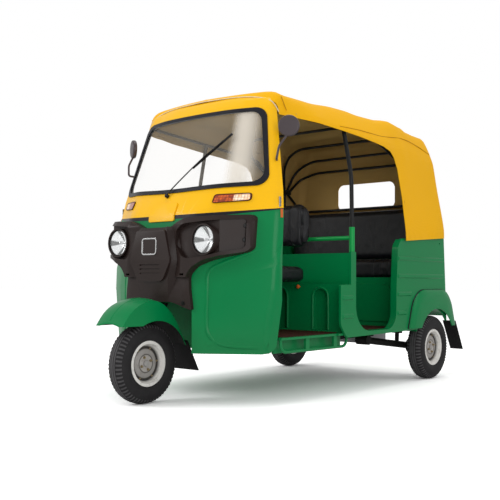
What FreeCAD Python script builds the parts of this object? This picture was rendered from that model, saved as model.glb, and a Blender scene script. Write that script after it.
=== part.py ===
import FreeCAD, Part
import math
import os
import re
from types import SimpleNamespace

import Sketcher
from FreeCAD import Placement, Rotation, Vector

# Driving sizes of the three-wheeler in millimetres.
# The frame's origin is on the ground under the middle, +X the vehicle's left, +Y its rear, +Z up.
SIZES = (
    # wheels
    ("wheelbase", 2000.0),
    ("front_axle_y", -1087.5),
    ("rear_track", 1150.0),
    ("tyre_radius", 207.5),
    ("tyre_width", 110.0),
    ("bead_radius", 102.0),
    ("flange_radius", 118.0),
    ("rim_half_width", 44.0),
    ("rim_gauge", 5.0),
    ("drum_radius", 78.0),
    ("stub_radius", 15.0),
    # cab shell
    ("cab_wall", 14.0),
    ("cab_bottom", 264.0),
    ("cab_corner", 84.0),
    ("cab_mid_height", 590.0),
    ("belt_over_lamp", 137.0),
    ("belt_centre_drop", 2.0),
    ("belt_rake", 0.11),
    ("scuttle_height", 120.0),
    ("screen_top_height", 1562.0),
    ("header_height", 1612.0),
    ("cab_top", 1640.0),
    ("nose_y", -985.0),
    ("nose_half_width", 248.0),
    ("door_edge_y", -702.0),
    ("cab_half_width", 617.0),
    ("cab_foot_half_width", 557.0),
    ("header_half_width", 487.0),
    ("screen_rake", 210.0),
    ("seal_width", 22.0),
    ("seal_proud", 7.0),
    ("glass_gauge", 6.0),
    ("fit", 0.3),
    # wheel well and steering
    ("well_half_width", 238.0),
    ("well_radius", 352.0),
    ("well_top", 520.0),
    ("well_wall", 6.0),
    ("steer_rake", 22.0),
    ("steer_trail", 60.0),
    ("column_radius", 20.0),
    ("headstock_radius", 30.0),
    ("headstock_bottom", 600.0),
    ("headstock_top", 860.0),
    ("column_top", 965.0),
    ("column_bottom", 490.0),
    ("bar_radius", 13.0),
    ("bar_half_width", 300.0),
    ("bar_sweep", 110.0),
    ("grip_radius", 18.0),
    ("fork_offset", 82.0),
    ("fork_radius", 15.0),
    # front mudguard and flap
    ("guard_half_width", 112.0),
    ("guard_crown", 13.0),
    ("guard_skirt", 150.0),
    ("guard_skirt_radius", 222.0),
    ("guard_wall", 5.0),
    ("guard_front_height", 406.0),
    ("guard_peak", 566.0),
    ("flap_gauge", 5.0),
    ("flap_drop", 165.0),
    ("flap_lean", 88.0),
    # headlamp fascia
    ("fascia_proud", 18.0),
    ("snout_y", -1040.0),
    ("snout_half_width", 112.0),
    ("snout_plate", 12.0),
    ("relief_proud", 14.0),
    ("lamp_x", 326.0),
    ("lamp_y", -984.0),
    ("lamp_height", 843.0),
    ("lamp_radius", 72.5),
    ("lamp_depth", 64.0),
    ("lamp_collar", 8.0),
    # floor, sills, partition
    ("floor_top", 345.0),
    ("floor_gauge", 12.0),
    ("floor_half_width", 596.0),
    ("floor_tread", 3.0),
    ("sill_height", 262.0),
    ("sill_rear_y", -70.0),
    ("sill_gauge", 14.0),
    ("step_rail_radius", 8.0),
    ("step_rail_inset", 14.0),
    ("sill_depth", 70.0),
    ("partition_y", -60.0),
    ("partition_gauge", 14.0),
    ("partition_top", 798.0),
    ("step_top", 620.0),
    ("step_depth", 46.0),
    # passenger tub
    ("tub_half_width", 620.0),
    ("tub_wall", 14.0),
    ("tub_front_y", -184.0),
    ("tub_rear_y", 1064.0),
    ("tub_bottom", 320.0),
    ("tub_top", 945.0),
    ("tub_front_top", 904.0),
    ("jamb_depth", 28.0),
    ("jamb_gauge", 5.0),
    ("rib_height", 34.0),
    ("rib_proud", 6.0),
    ("post_strip_top", 617.0),
    ("door_front_y", -28.0),
    ("door_bottom", 349.0),
    ("door_rear_y", 430.0),
    ("arch_radius", 252.0),
    ("arch_wall", 6.0),
    ("arch_depth", 128.0),
    ("flare_top", 588.0),
    ("flare_roll", 44.0),
    ("flare_proud", 30.0),
    ("flare_wall", 6.0),
    ("flare_foot", 342.0),
    # engine lid
    ("lid_half_width", 350.0),
    ("lid_bottom", 372.0),
    ("lid_top", 700.0),
    ("lid_gauge", 12.0),
    ("lid_gap", 6.0),
    ("hinge_radius", 5.0),
    # posts and hood bows
    ("post_y", -50.0),
    ("post_radius", 12.0),
    ("post_base_x", 606.0),
    ("post_top_x", 544.0),
    ("post_top_height", 1492.0),
    ("rail_height", 885.0),
    ("bow_radius", 9.0),
    ("bow_pivot_x", 560.0),
    ("bow_pivot_y", 832.0),
    ("bow_pivot_height", 1300.0),
    ("bow_bend", 90.0),
    # canopy
    ("hood_wall", 9.0),
    ("hood_front_y", -636.0),
    ("hood_rear_y", 1073.5),
    ("hood_belt", 888.0),
    ("hood_belt_rise", 42.0),
    ("hood_crown", 1692.0),
    ("hood_front_crown", 1668.0),
    ("hood_hem", 1512.0),
    ("hood_quarter_y", 500.0),
    ("rear_window_half_width", 240.0),
    ("rear_window_bottom", 1162.0),
    ("rear_window_top", 1352.0),
    # seats
    ("seat_half_width", 380.0),
    ("back_half_width", 342.0),
    ("seat_height", 636.0),
    ("seat_pad", 79.0),
    ("seat_front_y", -505.0),
    ("seat_length", 360.0),
    ("back_bottom", 828.0),
    ("back_height", 276.0),
    ("back_gauge", 66.0),
    ("bench_half_width", 572.0),
    ("bench_height", 664.0),
    ("bench_pad", 114.0),
    ("bench_front_y", 604.0),
    ("bench_length", 316.0),
    ("bench_back_gauge", 84.0),
    ("bench_back_height", 372.0),
    # engine and chassis
    ("engine_length", 330.0),
    ("engine_width", 420.0),
    ("engine_drop", 109.0),
    ("engine_bottom", 225.0),
    ("engine_front_y", 668.0),
    ("rail_x", 290.0),
    ("chassis_rail_width", 44.0),
    ("chassis_rail_height", 56.0),
    ("tie_down_y", 300.0),
    ("tie_down_radius", 9.0),
    ("arm_radius", 22.0),
    ("arm_pivot_x", 385.0),
    ("arm_pivot_y", 423.0),
    ("arm_pivot_height", 268.0),
    ("arm_end_x", 452.0),
    ("spring_radius", 34.0),
    ("damper_radius", 14.0),
    ("spring_drop", 64.0),
    ("spring_x", 400.0),
)

doc = FreeCAD.newDocument("AutoRickshaw")
sheet = doc.addObject("Spreadsheet::Sheet", "Sizes")
for row, (alias, value) in enumerate(SIZES, 1):
    sheet.set("A%d" % row, alias)
    sheet.set("B%d" % row, str(value))
    sheet.setAlias("B%d" % row, alias)
doc.recompute()

# The same sizes as numbers, read back from the sheet, for the pieces that Part's functions make.
s = SimpleNamespace(**{alias: float(sheet.get(alias)) for alias, _ in SIZES})
rear_axle_y = s.front_axle_y + s.wheelbase
axle_height = s.tyre_radius
rear_wheel_x = s.rear_track / 2
belt_height = s.lamp_height + s.belt_over_lamp
screen_base = belt_height + s.scuttle_height
bench_back_top = s.bench_height + s.bench_pad + s.bench_back_height
spring_top = s.bench_height - s.spring_drop


def number(expression):
    """The value of an expression on the sheet's aliases."""
    quantity = sheet.evalExpression(expression)
    return float(getattr(quantity, "Value", quantity))


def bound(expression):
    """The expression as another object of the document has to write it."""
    return re.sub(r"\b([a-z][a-z_]+)\b", r"Sizes.\1", expression)


def bind(item, **expressions):
    """Bind properties of an object to the sheet; PX, PY and PZ are its place."""
    places = {"PX": "Placement.Base.x", "PY": "Placement.Base.y", "PZ": "Placement.Base.z"}
    for name, expression in expressions.items():
        item.setExpression(places.get(name, name), bound(expression))


def outline(body, role, name, steps):
    """A closed sketch on one of the body's origin planes.

    Each step ends at a point (x, y); a step of four is an arc through its first point.
    Every point is held by the sheet's sizes.
    """
    plane = [item for item in body.Origin.OriginFeatures if item.Role == role][0]
    sketch = body.newObject("Sketcher::SketchObject", name)
    sketch.AttachmentSupport = [(plane, "")]
    sketch.MapMode = "FlatFace"
    points = [Vector(number(step[-2]), number(step[-1]), 0) for step in steps]
    ends = []
    for index, step in enumerate(steps):
        start, end = points[index - 1], points[index]
        forward = True
        if len(step) == 4:
            middle = Vector(number(step[0]), number(step[1]), 0)
            forward = (middle - start).cross(end - middle).z > 0
            arc = Part.Arc(start, middle, end) if forward else Part.Arc(end, middle, start)
            sketch.addGeometry(arc, False)
        else:
            sketch.addGeometry(Part.LineSegment(start, end), False)
        ends.append((1, 2) if forward else (2, 1))
    for index, step in enumerate(steps):
        following = (index + 1) % len(steps)
        last = ends[index][1]
        sketch.addConstraint(
            Sketcher.Constraint("Coincident", index, last, following, ends[following][0]))
        hold(sketch, index, last, step[-2], step[-1])
    for index, step in enumerate(steps):
        if len(step) == 4:
            middle = Vector(number(step[0]), number(step[1]), 0)
            mark = sketch.addGeometry(Part.Point(middle), True)
            sketch.addConstraint(Sketcher.Constraint("PointOnObject", mark, 1, index))
            hold(sketch, mark, 1, step[0], step[1])
    return sketch


def hold(sketch, geometry, vertex, across, up):
    """Hold one vertex of a sketch at two expressions from the origin."""
    for kind, expression in (("DistanceX", across), ("DistanceY", up)):
        row = sketch.addConstraint(
            Sketcher.Constraint(kind, geometry, vertex, number(expression)))
        sketch.setExpression("Constraints[%d]" % row, bound(expression))


def turned(label, steps, **place):
    """A piece turned about the vehicle's X axis: steps are (along the axis, radius)."""
    body = doc.addObject("PartDesign::Body", label)
    sketch = outline(body, "XY_Plane", label + "_section", steps)
    turn = body.newObject("PartDesign::Revolution", label + "_turned")
    turn.Profile = sketch
    turn.ReferenceAxis = (sketch, ["H_Axis"])
    turn.Angle = 360
    bind(body, **place)
    return body


def block(label, wide, long, high, **place):
    """A box of the sheet's sizes, centred across the vehicle unless PX says otherwise."""
    box = doc.addObject("Part::Box", label)
    place.setdefault("PX", "-(%s) / 2" % wide)
    bind(box, Length=wide, Width=long, Height=high, **place)
    return box


def feature(label, shape):
    """A piece whose shape Part's own functions make."""
    item = doc.addObject("Part::Feature", label)
    item.Shape = shape
    return item


# Shapes that Part's functions make


def polygon(points):
    """A closed wire of straight edges through (x, y, z) points."""
    corners = [Vector(*point) for point in points]
    return Part.makePolygon(corners + corners[:1])


def rounded(points, reaches, closed=True):
    """A wire through corner points, each corner eased by an arc that starts reach before it."""
    corners = [Vector(*point) for point in points]
    count = len(corners)
    starts, stops, middles = [], [], []
    for index, corner in enumerate(corners):
        reach = reaches[index]
        if reach <= 0 or (not closed and index in (0, count - 1)):
            starts.append(corner)
            stops.append(corner)
            middles.append(None)
            continue
        before = (corners[index - 1] - corner).normalize()
        after = (corners[(index + 1) % count] - corner).normalize()
        start = corner + before * reach
        stop = corner + after * reach
        half = before.getAngle(after) / 2
        radius = reach * math.tan(half)
        inward = (before + after).normalize()
        centre = corner + inward * (reach / math.cos(half))
        starts.append(start)
        stops.append(stop)
        middles.append(centre - inward * radius)
    edges = []
    for index in range(count):
        if middles[index] is not None:
            edges.append(Part.Arc(starts[index], middles[index], stops[index]).toShape())
        following = (index + 1) % count
        last = not closed and index == count - 1
        if not last and (starts[following] - stops[index]).Length > 1e-4:
            edges.append(Part.LineSegment(stops[index], starts[following]).toShape())
    return Part.Wire(edges)


def prism(wire, along):
    """The solid that a closed flat wire sweeps along a vector."""
    return Part.Face(wire).extrude(along)


def tube(points, radius, bend):
    """A round bar along straight runs joined by tangent arcs."""
    path = rounded(points, [0] + [bend] * (len(points) - 2) + [0], closed=False)
    start, direction = Vector(*points[0]), Vector(*points[1]) - Vector(*points[0])
    ring = Part.Wire(Part.makeCircle(radius, start, direction))
    return path.makePipeShell([ring], True, False)


def rod(start, stop, radius):
    """A straight round bar between two points."""
    line = Vector(*stop) - Vector(*start)
    return Part.makeCylinder(radius, line.Length, Vector(*start), line)


def both_sides(shape):
    """The shape and its mirror image across the vehicle's middle plane."""
    return [shape, shape.mirror(Vector(0, 0, 0), Vector(1, 0, 0))]


def beyond(first, second, third, inside):
    """A large box on the far side of the plane through three points, away from an inside point."""
    start = Vector(*first)
    normal = (Vector(*second) - start).cross(Vector(*third) - start).normalize()
    if normal.dot(Vector(*inside) - start) > 0:
        normal = -normal
    box = Part.makeBox(2400, 2400, 400, Vector(-1200, -1200, 0))
    box.Placement = Placement(start, Rotation(Vector(0, 0, 1), normal))
    return box


def cuboid(low, high):
    """A box between two corners."""
    size = Vector(*high) - Vector(*low)
    return Part.makeBox(size.x, size.y, size.z, Vector(*low))


# Cab shell: plan sections from the floor to the header


def cab_sections():
    """Half sections: height, front middle, end of the front face, start and end of the side."""
    edge, foot, head = s.cab_half_width, s.cab_foot_half_width, s.header_half_width
    screen_y = s.nose_y + 63
    top_y = screen_y + s.screen_rake
    return (
        (s.cab_bottom, s.nose_y, (s.nose_half_width, s.nose_y + 4),
         (foot - 12, s.door_edge_y - 63), (foot, s.door_edge_y + 12)),
        (s.cab_mid_height, s.nose_y - 2, (s.nose_half_width + 4, s.nose_y + 3),
         (edge - 21, s.door_edge_y - 50), (edge - 12, s.door_edge_y - 1)),
        (belt_height, s.nose_y + 20, (s.nose_half_width + 8, s.nose_y + 29),
         (edge - 11, s.door_edge_y - 30), (edge, s.door_edge_y + 2)),
        (screen_base, screen_y, (300, screen_y + 50),
         (edge - 42, s.door_edge_y - 20), (edge - 14, s.door_edge_y + 14)),
        (s.screen_top_height, top_y, (258, top_y + 18),
         (head - 24, top_y + 80), (head, top_y + 114)),
        (s.header_height, top_y + 24, (246, top_y + 40),
         (head - 46, top_y + 94), (head - 16, top_y + 126)),
        (s.cab_top, top_y + 62, (228, top_y + 72),
         (head - 92, top_y + 112), (head - 62, top_y + 140)),
    )


def plan_wire(section, inset, back):
    """One plan section, drawn in by inset and run on behind the door edge by back."""
    height, front_y, (face_x, face_y), (quarter_x, quarter_y), (edge_x, edge_y) = section
    half = [(0, front_y), (face_x, face_y), (quarter_x, quarter_y), (edge_x, edge_y)]
    moved = []
    for index, (x, y) in enumerate(half):
        following = half[index + 1] if index < 3 else half[3]
        before = half[index - 1] if index else (-half[1][0], half[1][1])
        if index == 3:
            before, following = half[2], half[3]
        first = Vector(x - before[0], y - before[1], 0)
        second = Vector(following[0] - x, following[1] - y, 0)
        if second.Length < 1e-6:
            second = Vector(first)
        first.normalize()
        second.normalize()
        normal = Vector(-first.y, first.x, 0) + Vector(-second.y, second.x, 0)
        normal.normalize()
        lean = normal.dot(Vector(-first.y, first.x, 0))
        moved.append((x + normal.x * inset / lean, y + normal.y * inset / lean))
    reaches = [24, 70, 140, 70, 24]
    if back:
        moved.append((moved[3][0], moved[3][1] + back))
        reaches = [0] + reaches + [0]
    right = [(x, y, height) for x, y in moved[1:]]
    left = [(-x, y, height) for x, y in reversed(moved[1:])]
    points = left + [(moved[0][0], moved[0][1], height)] + right
    return rounded(points, [0] + reaches + [0])


def cab_solid(inset, back=0.0, first=0, last=7):
    """The solid inside the cab's outer skin, drawn in by inset."""
    wires = [plan_wire(section, inset, back) for section in cab_sections()[first:last]]
    return Part.makeLoft(wires, True, True)


def belt_cutter(above):
    """Everything above or below the raked line between the two colours of the cab."""
    front_y, rear_y = s.nose_y - 300, s.door_edge_y + 400
    centre = belt_height - s.belt_centre_drop
    front_z = centre + (front_y - s.nose_y - 20) * s.belt_rake
    rear_z = centre + (rear_y - s.nose_y - 20) * s.belt_rake
    far = 2500 if above else -500
    wire = polygon([(-900, front_y, front_z), (-900, rear_y, rear_z), (-900, rear_y, far),
                    (-900, front_y, far)])
    return prism(wire, Vector(1800, 0, 0))


def screen_outline(grow):
    """The windscreen's outline as a prism along the vehicle, grown all round by grow."""
    low, high = screen_base, s.screen_top_height
    points = [(-547 - grow, -1300, low + 29 - grow), (0, -1300, low - grow),
              (547 + grow, -1300, low + 29 - grow), (451 + grow, -1300, high + grow),
              (-451 - grow, -1300, high + grow)]
    wire = rounded(points, [62, 120, 62, 62, 62])
    return prism(wire, Vector(0, 900, 0))


def cab_hollow():
    """The space inside the cab, open at the back and below and closed under the roof."""
    below_roof = cuboid((-900, -1300, 0), (900, 200, s.cab_top - s.cab_wall))
    return cab_solid(s.cab_wall, back=160).common(below_roof)


cab_shell = cab_solid(0).cut(cab_hollow())


def steer_y(height):
    """Where the steering axis is along the vehicle at a height."""
    return s.front_axle_y - s.steer_trail + height * math.tan(math.radians(s.steer_rake))


steer_axis = Vector(0, math.sin(math.radians(s.steer_rake)), math.cos(math.radians(s.steer_rake)))


def on_steer_axis(height):
    """The point of the steering axis at a height."""
    return Vector(0, steer_y(height), height)


def wheel_well(extra):
    """The space that the steered wheel and its mudguard swing in."""
    drum = Part.makeCylinder(s.well_radius + extra, s.well_top + extra,
                             Vector(0, s.front_axle_y, 0))
    lane = cuboid((-s.well_half_width - extra, -1400, -1),
                  (s.well_half_width + extra, -500, s.well_top + extra))
    return drum.common(lane)


def lamp_bores(clearance):
    """The holes that both headlamps pass through."""
    return [Part.makeCylinder(s.lamp_radius + clearance, 400,
                              Vector(side * s.lamp_x, s.lamp_y - 100, s.lamp_height),
                              Vector(0, 1, 0)) for side in (1, -1)]


def shield_relief():
    """The raised panel pressed into the cowl's left quarter, its edges slanting into the skin."""
    proud = s.relief_proud
    low = (302, s.nose_y + 43.5, s.cab_bottom + 34)
    high = (321, s.nose_y + 56.5, s.lamp_height - 144)
    end = (525, s.nose_y + 207.5, s.lamp_height - 61)
    foot = (s.cab_foot_half_width, s.door_edge_y - 63, s.cab_bottom + 34)
    door = (s.cab_half_width - 6, s.door_edge_y - 10, 300)
    inside = (430, s.nose_y + 200, s.cab_mid_height)
    pad = cab_solid(-proud).cut(cab_solid(s.cab_wall / 2, back=160))
    pad = pad.common(cuboid((250, -1100, s.cab_bottom + 2), (700, s.door_edge_y, s.lamp_height)))
    cuts = [
        beyond(low, high, (low[0] + 57, low[1] + 22 - proud * 0.1, low[2]), inside),
        beyond(high, end, (high[0] + proud * 0.54, high[1] - proud * 0.84, high[2] - 45), inside),
        beyond(low, foot, (low[0] + proud * 0.54, low[1] - proud * 0.84, low[2] + 34), inside),
        beyond(door, (door[0] + 5, door[1], 960), (door[0] + proud * 0.7, door[1] - 40, 500), inside),
    ]
    return pad.cut(cuts)


def front_cowl():
    """The green lower cab shell, with the wheel well cut and lined."""
    shell = cab_shell.common(belt_cutter(False)).cut(lamp_bores(3))
    shell = shell.fuse(both_sides(shield_relief())).cut(wheel_well(0))
    corner_y = s.door_edge_y + 12 - s.cab_corner
    corner = cuboid((-700, corner_y, s.cab_bottom - 50), (700, -500, s.cab_bottom + s.cab_corner))
    shell = shell.cut(corner.cut(rod((-710, corner_y, s.cab_bottom + s.cab_corner),
                                     (710, corner_y, s.cab_bottom + s.cab_corner), s.cab_corner)))
    liner = wheel_well(s.well_wall).cut(wheel_well(0))
    liner = liner.common(cab_solid(2, back=160))
    liner = liner.common(cuboid((-900, -1400, s.cab_bottom), (900, 0, 1000)))
    bore = rod(on_steer_axis(400), on_steer_axis(700), s.column_radius + 6)
    shell = shell.fuse(liner.cut(bore))
    return shell


def screen_surround():
    """The yellow upper cab: scuttle, pillars and header round the windscreen."""
    shell = cab_shell.common(belt_cutter(True))
    return shell.cut(screen_outline(0))


def screen_seal():
    """The black rubber that holds the glass in its opening."""
    band = cab_solid(-s.seal_proud).cut(cab_solid(s.cab_wall, back=160))
    return band.common(screen_outline(-s.fit).cut(screen_outline(-s.seal_width)))


def screen_glass():
    """The bent windscreen."""
    skin = cab_solid(s.seal_proud - s.glass_gauge / 2).cut(
        cab_solid(s.seal_proud + s.glass_gauge / 2, back=160))
    return skin.common(screen_outline(-s.seal_width - s.fit / 10))


feature("front_cowl", front_cowl())
feature("screen_surround", screen_surround())
feature("screen_seal", screen_seal())
feature("screen_glass", screen_glass())


# Front fascia, lamps and trim


def wing_rows(draw):
    """Plan outlines of the lamp wings by height: front corners from the snout to the outer end."""
    full = [(118, -1000 + draw), (200, -1022 + draw), (330, -1006 + draw), (415, -966 + draw),
            (512, -837 + draw * 0.6), (536, -760)]
    high = [(118, -978), (204, -990), (330, -974), (408, -938), (500, -818), (536, -760)]
    return ((s.lamp_height - 190, full), (s.lamp_height + 84, full), (s.lamp_height + 130, high))


def fascia_outline():
    """The moulding's outline from ahead as a prism along the vehicle."""
    lamp = s.lamp_height
    points = [(0, lamp + 69), (100, lamp + 69), (196, lamp + 114), (520, lamp + 129),
              (514, lamp - 57), (340, lamp - 101), (268, lamp - 137), (232, lamp - 183),
              (236, lamp - 243), (250, lamp - 359), (120, lamp - 319), (0, lamp - 297)]
    corners = [(x, -1300, z) for x, z in points[:-1]]
    corners += [(-x, -1300, z) for x, z in reversed(points[1:-1])]
    reach = [0, 24, 40, 24, 30, 40, 20, 16, 30, 10, 30]
    return prism(rounded(corners, reach + list(reversed(reach[1:]))), Vector(0, 700, 0))


def snout(proud):
    """The keel-shaped middle of the moulding, its front drawn out by proud."""
    lamp, half, tip = s.lamp_height, s.snout_half_width, s.snout_y - proud
    rows = ((lamp + 72, half - 12, tip + 18), (lamp + 50, half, tip + 4), (lamp - 103, half + 40, tip),
            (lamp - 203, half + 8, tip + 6), (lamp - 297, half - 16, tip + 38))
    wires = [polygon([(wide + 50, s.nose_y + 20, height), (wide, front, height),
                      (-wide, front, height), (-wide - 50, s.nose_y + 20, height)])
             for height, wide, front in rows]
    return Part.makeLoft(wires, True, True)


def lamp_recess():
    """The hollow round the left lamp, its floor running back to the wing's outer end."""
    lamp = s.lamp_height
    floor = polygon([(140, -990, lamp - 120), (235, -982, lamp - 120), (405, -952, lamp - 120),
                     (500, -830, lamp - 120), (560, -760, lamp - 120), (560, -1200, lamp - 120),
                     (140, -1200, lamp - 120)])
    mouth = rounded([(156, -1300, lamp + 52), (214, -1300, lamp + 84), (500, -1300, lamp + 106),
                     (496, -1300, lamp - 44), (322, -1300, lamp - 88), (220, -1300, lamp - 96),
                     (156, -1300, lamp - 28)], [16, 24, 20, 20, 40, 26, 16])
    return prism(floor, Vector(0, 0, 260)).common(prism(mouth, Vector(0, 700, 0)))


def fascia():
    """The dark moulding: lamp wings with hollows under brows, the snout, its plate and louvres."""
    lamp = s.lamp_height
    front = fascia_outline()
    body = cab_solid(-s.fascia_proud).common(front)
    wires = []
    for height, half in wing_rows(0):
        back = [(536, -700), (-536, -700)]
        plan = [(-x, y) for x, y in reversed(half)] + half + back
        wires.append(polygon([(x, y, height) for x, y in plan]))
    wings = Part.makeLoft(wires, True, True).common(front)
    wings = wings.cut(both_sides(lamp_recess()))
    plate = rounded([(-106, -1300, lamp + 58), (106, -1300, lamp + 58), (154, -1300, lamp - 106),
                     (88, -1300, lamp - 214), (-88, -1300, lamp - 214), (-154, -1300, lamp - 106)],
                    [16, 16, 14, 30, 30, 14])
    plate = prism(plate, Vector(0, 400, 0)).common(snout(s.snout_plate))
    body = body.fuse([wings, snout(0).common(front), plate])
    collars = [Part.makeCylinder(s.lamp_radius + s.lamp_collar, 120,
                                 Vector(side * s.lamp_x, s.lamp_y - 8, lamp), Vector(0, 1, 0))
               for side in (1, -1)]
    body = body.fuse(collars)
    grooves = [cuboid((-76, s.snout_y - 40, height), (76, s.snout_y - 4, height + 8))
               for height in (lamp - 131, lamp - 153, lamp - 175)]
    vents = [cuboid((side * 206 - 14, s.nose_y - 40, lamp - 181),
                    (side * 206 + 14, s.nose_y - 6, lamp - 171)) for side in (1, -1)]
    bores = [Part.makeCylinder(s.lamp_radius + s.fit, s.lamp_depth + 20,
                               Vector(side * s.lamp_x, s.lamp_y - 20, lamp), Vector(0, 1, 0))
             for side in (1, -1)]
    body = body.cut(grooves + vents + bores).cut(cab_solid(-s.fit / 3, back=160))
    return max(body.cut(both_sides(shield_relief())).Solids, key=lambda piece: piece.Volume)


feature("headlamp_fascia", fascia())

for label, side in (("headlamp_left", ""), ("headlamp_right", "-")):
    lamp = doc.addObject("PartDesign::Body", label)
    lamp_sketch = outline(lamp, "XY_Plane", label + "_section", [
        ("0", "lamp_depth / 2"),
        ("lamp_radius * 0.8", "lamp_depth / 2"),
        ("lamp_radius", "lamp_depth * 0.1"),
        ("lamp_radius", "-lamp_depth / 2 + 10"),
        ("lamp_radius * 0.6", "-lamp_depth / 2 + 1", "0", "-lamp_depth / 2 - 3"),
    ])
    lamp_turn = lamp.newObject("PartDesign::Revolution", label + "_turned")
    lamp_turn.Profile = lamp_sketch
    lamp_turn.ReferenceAxis = (lamp_sketch, ["V_Axis"])
    lamp_turn.Angle = 360
    bind(lamp, PX=side + "lamp_x", PY="lamp_y + lamp_depth / 2 - 4", PZ="lamp_height")


def indicators():
    """The amber lamps let into the corners of the scuttle."""
    front = [(306, 54), (480, 66), (477, 108), (306, 102)]
    wire = rounded([(x, -1300, belt_height + z) for x, z in front], [12, 14, 14, 12])
    skin = cab_solid(-8).cut(cab_solid(-s.fit / 3, back=160))
    return Part.makeCompound(both_sides(skin.common(prism(wire, Vector(0, 700, 0)))))


def nose_plate():
    """The bare yellow flap in the middle of the nose."""
    low, high = belt_height - 32, belt_height + 66
    wire = rounded([(-96, -1300, low), (96, -1300, low), (92, -1300, high), (-92, -1300, high)],
                   [10, 10, 10, 10])
    skin = cab_solid(-8).cut(cab_solid(-s.fit / 3, back=160))
    return skin.common(prism(wire, Vector(0, 500, 0)))


def wiper():
    """The wiper's pivot, arm and blade, lying just clear of the glass."""
    pivot = Vector(0, s.nose_y + 55, screen_base - 22)
    low, high = Vector(95, -905, 1180), Vector(232, -790, 1385)
    arm = rod(pivot, (low + high) * 0.5, 5)
    blade = rod(low, high, 7)
    boss = Part.makeCylinder(13, 30, pivot + Vector(0, 16, 0), Vector(0, -1, 0.2))
    return boss.fuse([arm, blade]).cut(cab_solid(-s.seal_proud - s.fit))


def mirrors():
    """Round mirrors on bent stalks that stand on the windscreen pillars."""
    head = Part.makeCylinder(56, 26, Vector(607, -650, 1440), Vector(-0.5, 0.866, 0))
    head = head.makeFillet(9, head.Edges)
    stalk = tube([(545, -668, 1262), (570, -702, 1266), (580, -694, 1330), (596, -640, 1400)],
                 6, 14)
    return Part.makeCompound(both_sides(head.fuse(stalk).cut(cab_solid(-s.fit / 3))))


feature("indicator_lamps", indicators())
feature("nose_plate", nose_plate())
feature("wiper", wiper())
feature("mirrors", mirrors())


# Floor, sills and inner panels


def floor_pan():
    """The pressed floor of the cab and the passenger space, with the side steps."""
    front = cuboid((-s.floor_half_width, s.door_edge_y + 14, s.floor_top - s.floor_gauge),
                   (s.floor_half_width, s.tub_front_y, s.floor_top))
    nose = cuboid((-s.floor_half_width, -1000, s.floor_top - s.floor_gauge),
                  (s.floor_half_width, s.door_edge_y + 30, s.floor_top))
    front = front.fuse(nose.common(cab_solid(s.cab_wall + s.fit / 3, back=160)))
    rear = cuboid((-s.tub_half_width + s.tub_wall, s.tub_front_y, s.floor_top - s.floor_gauge),
                  (s.tub_half_width - s.tub_wall, s.bench_front_y - 6, s.floor_top))
    steps = []
    for side in (1, -1):
        inner = side * (s.floor_half_width - s.sill_depth)
        line_x = side * (s.floor_half_width - s.step_rail_inset)
        front_y, deck = s.door_edge_y + 24, s.floor_top - s.floor_gauge / 2
        rail = tube([(line_x, front_y, deck), (line_x, front_y, s.sill_height + s.step_rail_radius),
                     (line_x, s.sill_rear_y, s.sill_height + s.step_rail_radius),
                     (line_x, s.sill_rear_y, deck)], s.step_rail_radius, 44)
        brackets = [cuboid((line_x - 7, place - 16, s.sill_height + 4), (line_x + 7, place + 16, deck))
                    for place in (s.door_edge_y + 250, s.sill_rear_y - 120)]
        wall_x = inner if side > 0 else inner - s.sill_gauge
        wall = cuboid((wall_x, s.door_edge_y + 20, s.sill_height),
                      (wall_x + s.sill_gauge, s.sill_rear_y, s.floor_top - s.floor_gauge))
        steps += [rail, wall] + brackets
    tread = cuboid((-s.floor_half_width + 20, s.partition_y + 20, s.floor_top),
                   (s.floor_half_width - 20, s.bench_front_y - 20, s.floor_top + s.floor_tread))
    pan = front.fuse([rear, tread] + steps)
    return pan.cut(wheel_well(s.well_wall + 1))


def dashboard():
    """The glove box moulding behind the nose."""
    room = cuboid((-430, -1000, 800), (430, -876, 955))
    return cab_solid(s.cab_wall + s.fit, back=160).common(room).cut(lamp_bores(5))


feature("floor_pan", floor_pan())
feature("dashboard", dashboard())


def partition():
    """The bulkhead behind the driver: an upper panel on a stepped box with pressed arches."""
    inner = s.tub_half_width - s.tub_wall
    front = s.partition_y - s.partition_gauge
    panel = cuboid((-inner, front, s.floor_top), (inner, s.partition_y, s.partition_top))
    step = cuboid((-inner, front - s.step_depth, s.floor_top), (inner, front, s.step_top))
    body = panel.fuse(step)
    for middle in (-436, -145, 145, 436):
        low, high = s.floor_top + 12, s.step_top - 22
        points = [(middle - 52, front - s.step_depth, low), (middle + 52, front - s.step_depth, low),
                  (middle + 52, front - s.step_depth, high), (middle - 52, front - s.step_depth, high)]
        arch = prism(rounded(points, [12, 12, 50, 50]), Vector(0, 30, 0))
        body = body.cut(arch)
    return body


feature("partition", partition())
block("seat_pedestal", "300", "300", "seat_height - floor_top - fit", PY="seat_front_y + 70",
      PZ="floor_top")


def engine_cover():
    """The panel in front of the engine, under the bench, with its top shelf."""
    inner = s.tub_half_width - s.tub_wall
    well = s.bench_half_width - 72
    face = cuboid((-inner, s.bench_front_y, s.floor_top - s.floor_gauge),
                  (inner, s.bench_front_y + 12, s.bench_height - s.fit))
    shelf = cuboid((-well, s.bench_front_y, s.bench_height - s.fit - 12),
                   (well, s.bench_front_y + 330, s.bench_height - s.fit))
    lobes = []
    for side in (1, -1):
        middle, low, high = side * 268, s.floor_top + 34, s.bench_height - 44
        wire = rounded([(middle - 236, s.bench_front_y - 9, low), (middle + 236, s.bench_front_y - 9, low),
                        (middle + 236, s.bench_front_y - 9, high),
                        (middle - 236, s.bench_front_y - 9, high)], [30, 30, 86, 86])
        lobes.append(prism(wire, Vector(0, 14, 0)))
    return face.fuse([shelf] + lobes)


feature("engine_cover", engine_cover())


# Passenger tub


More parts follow.
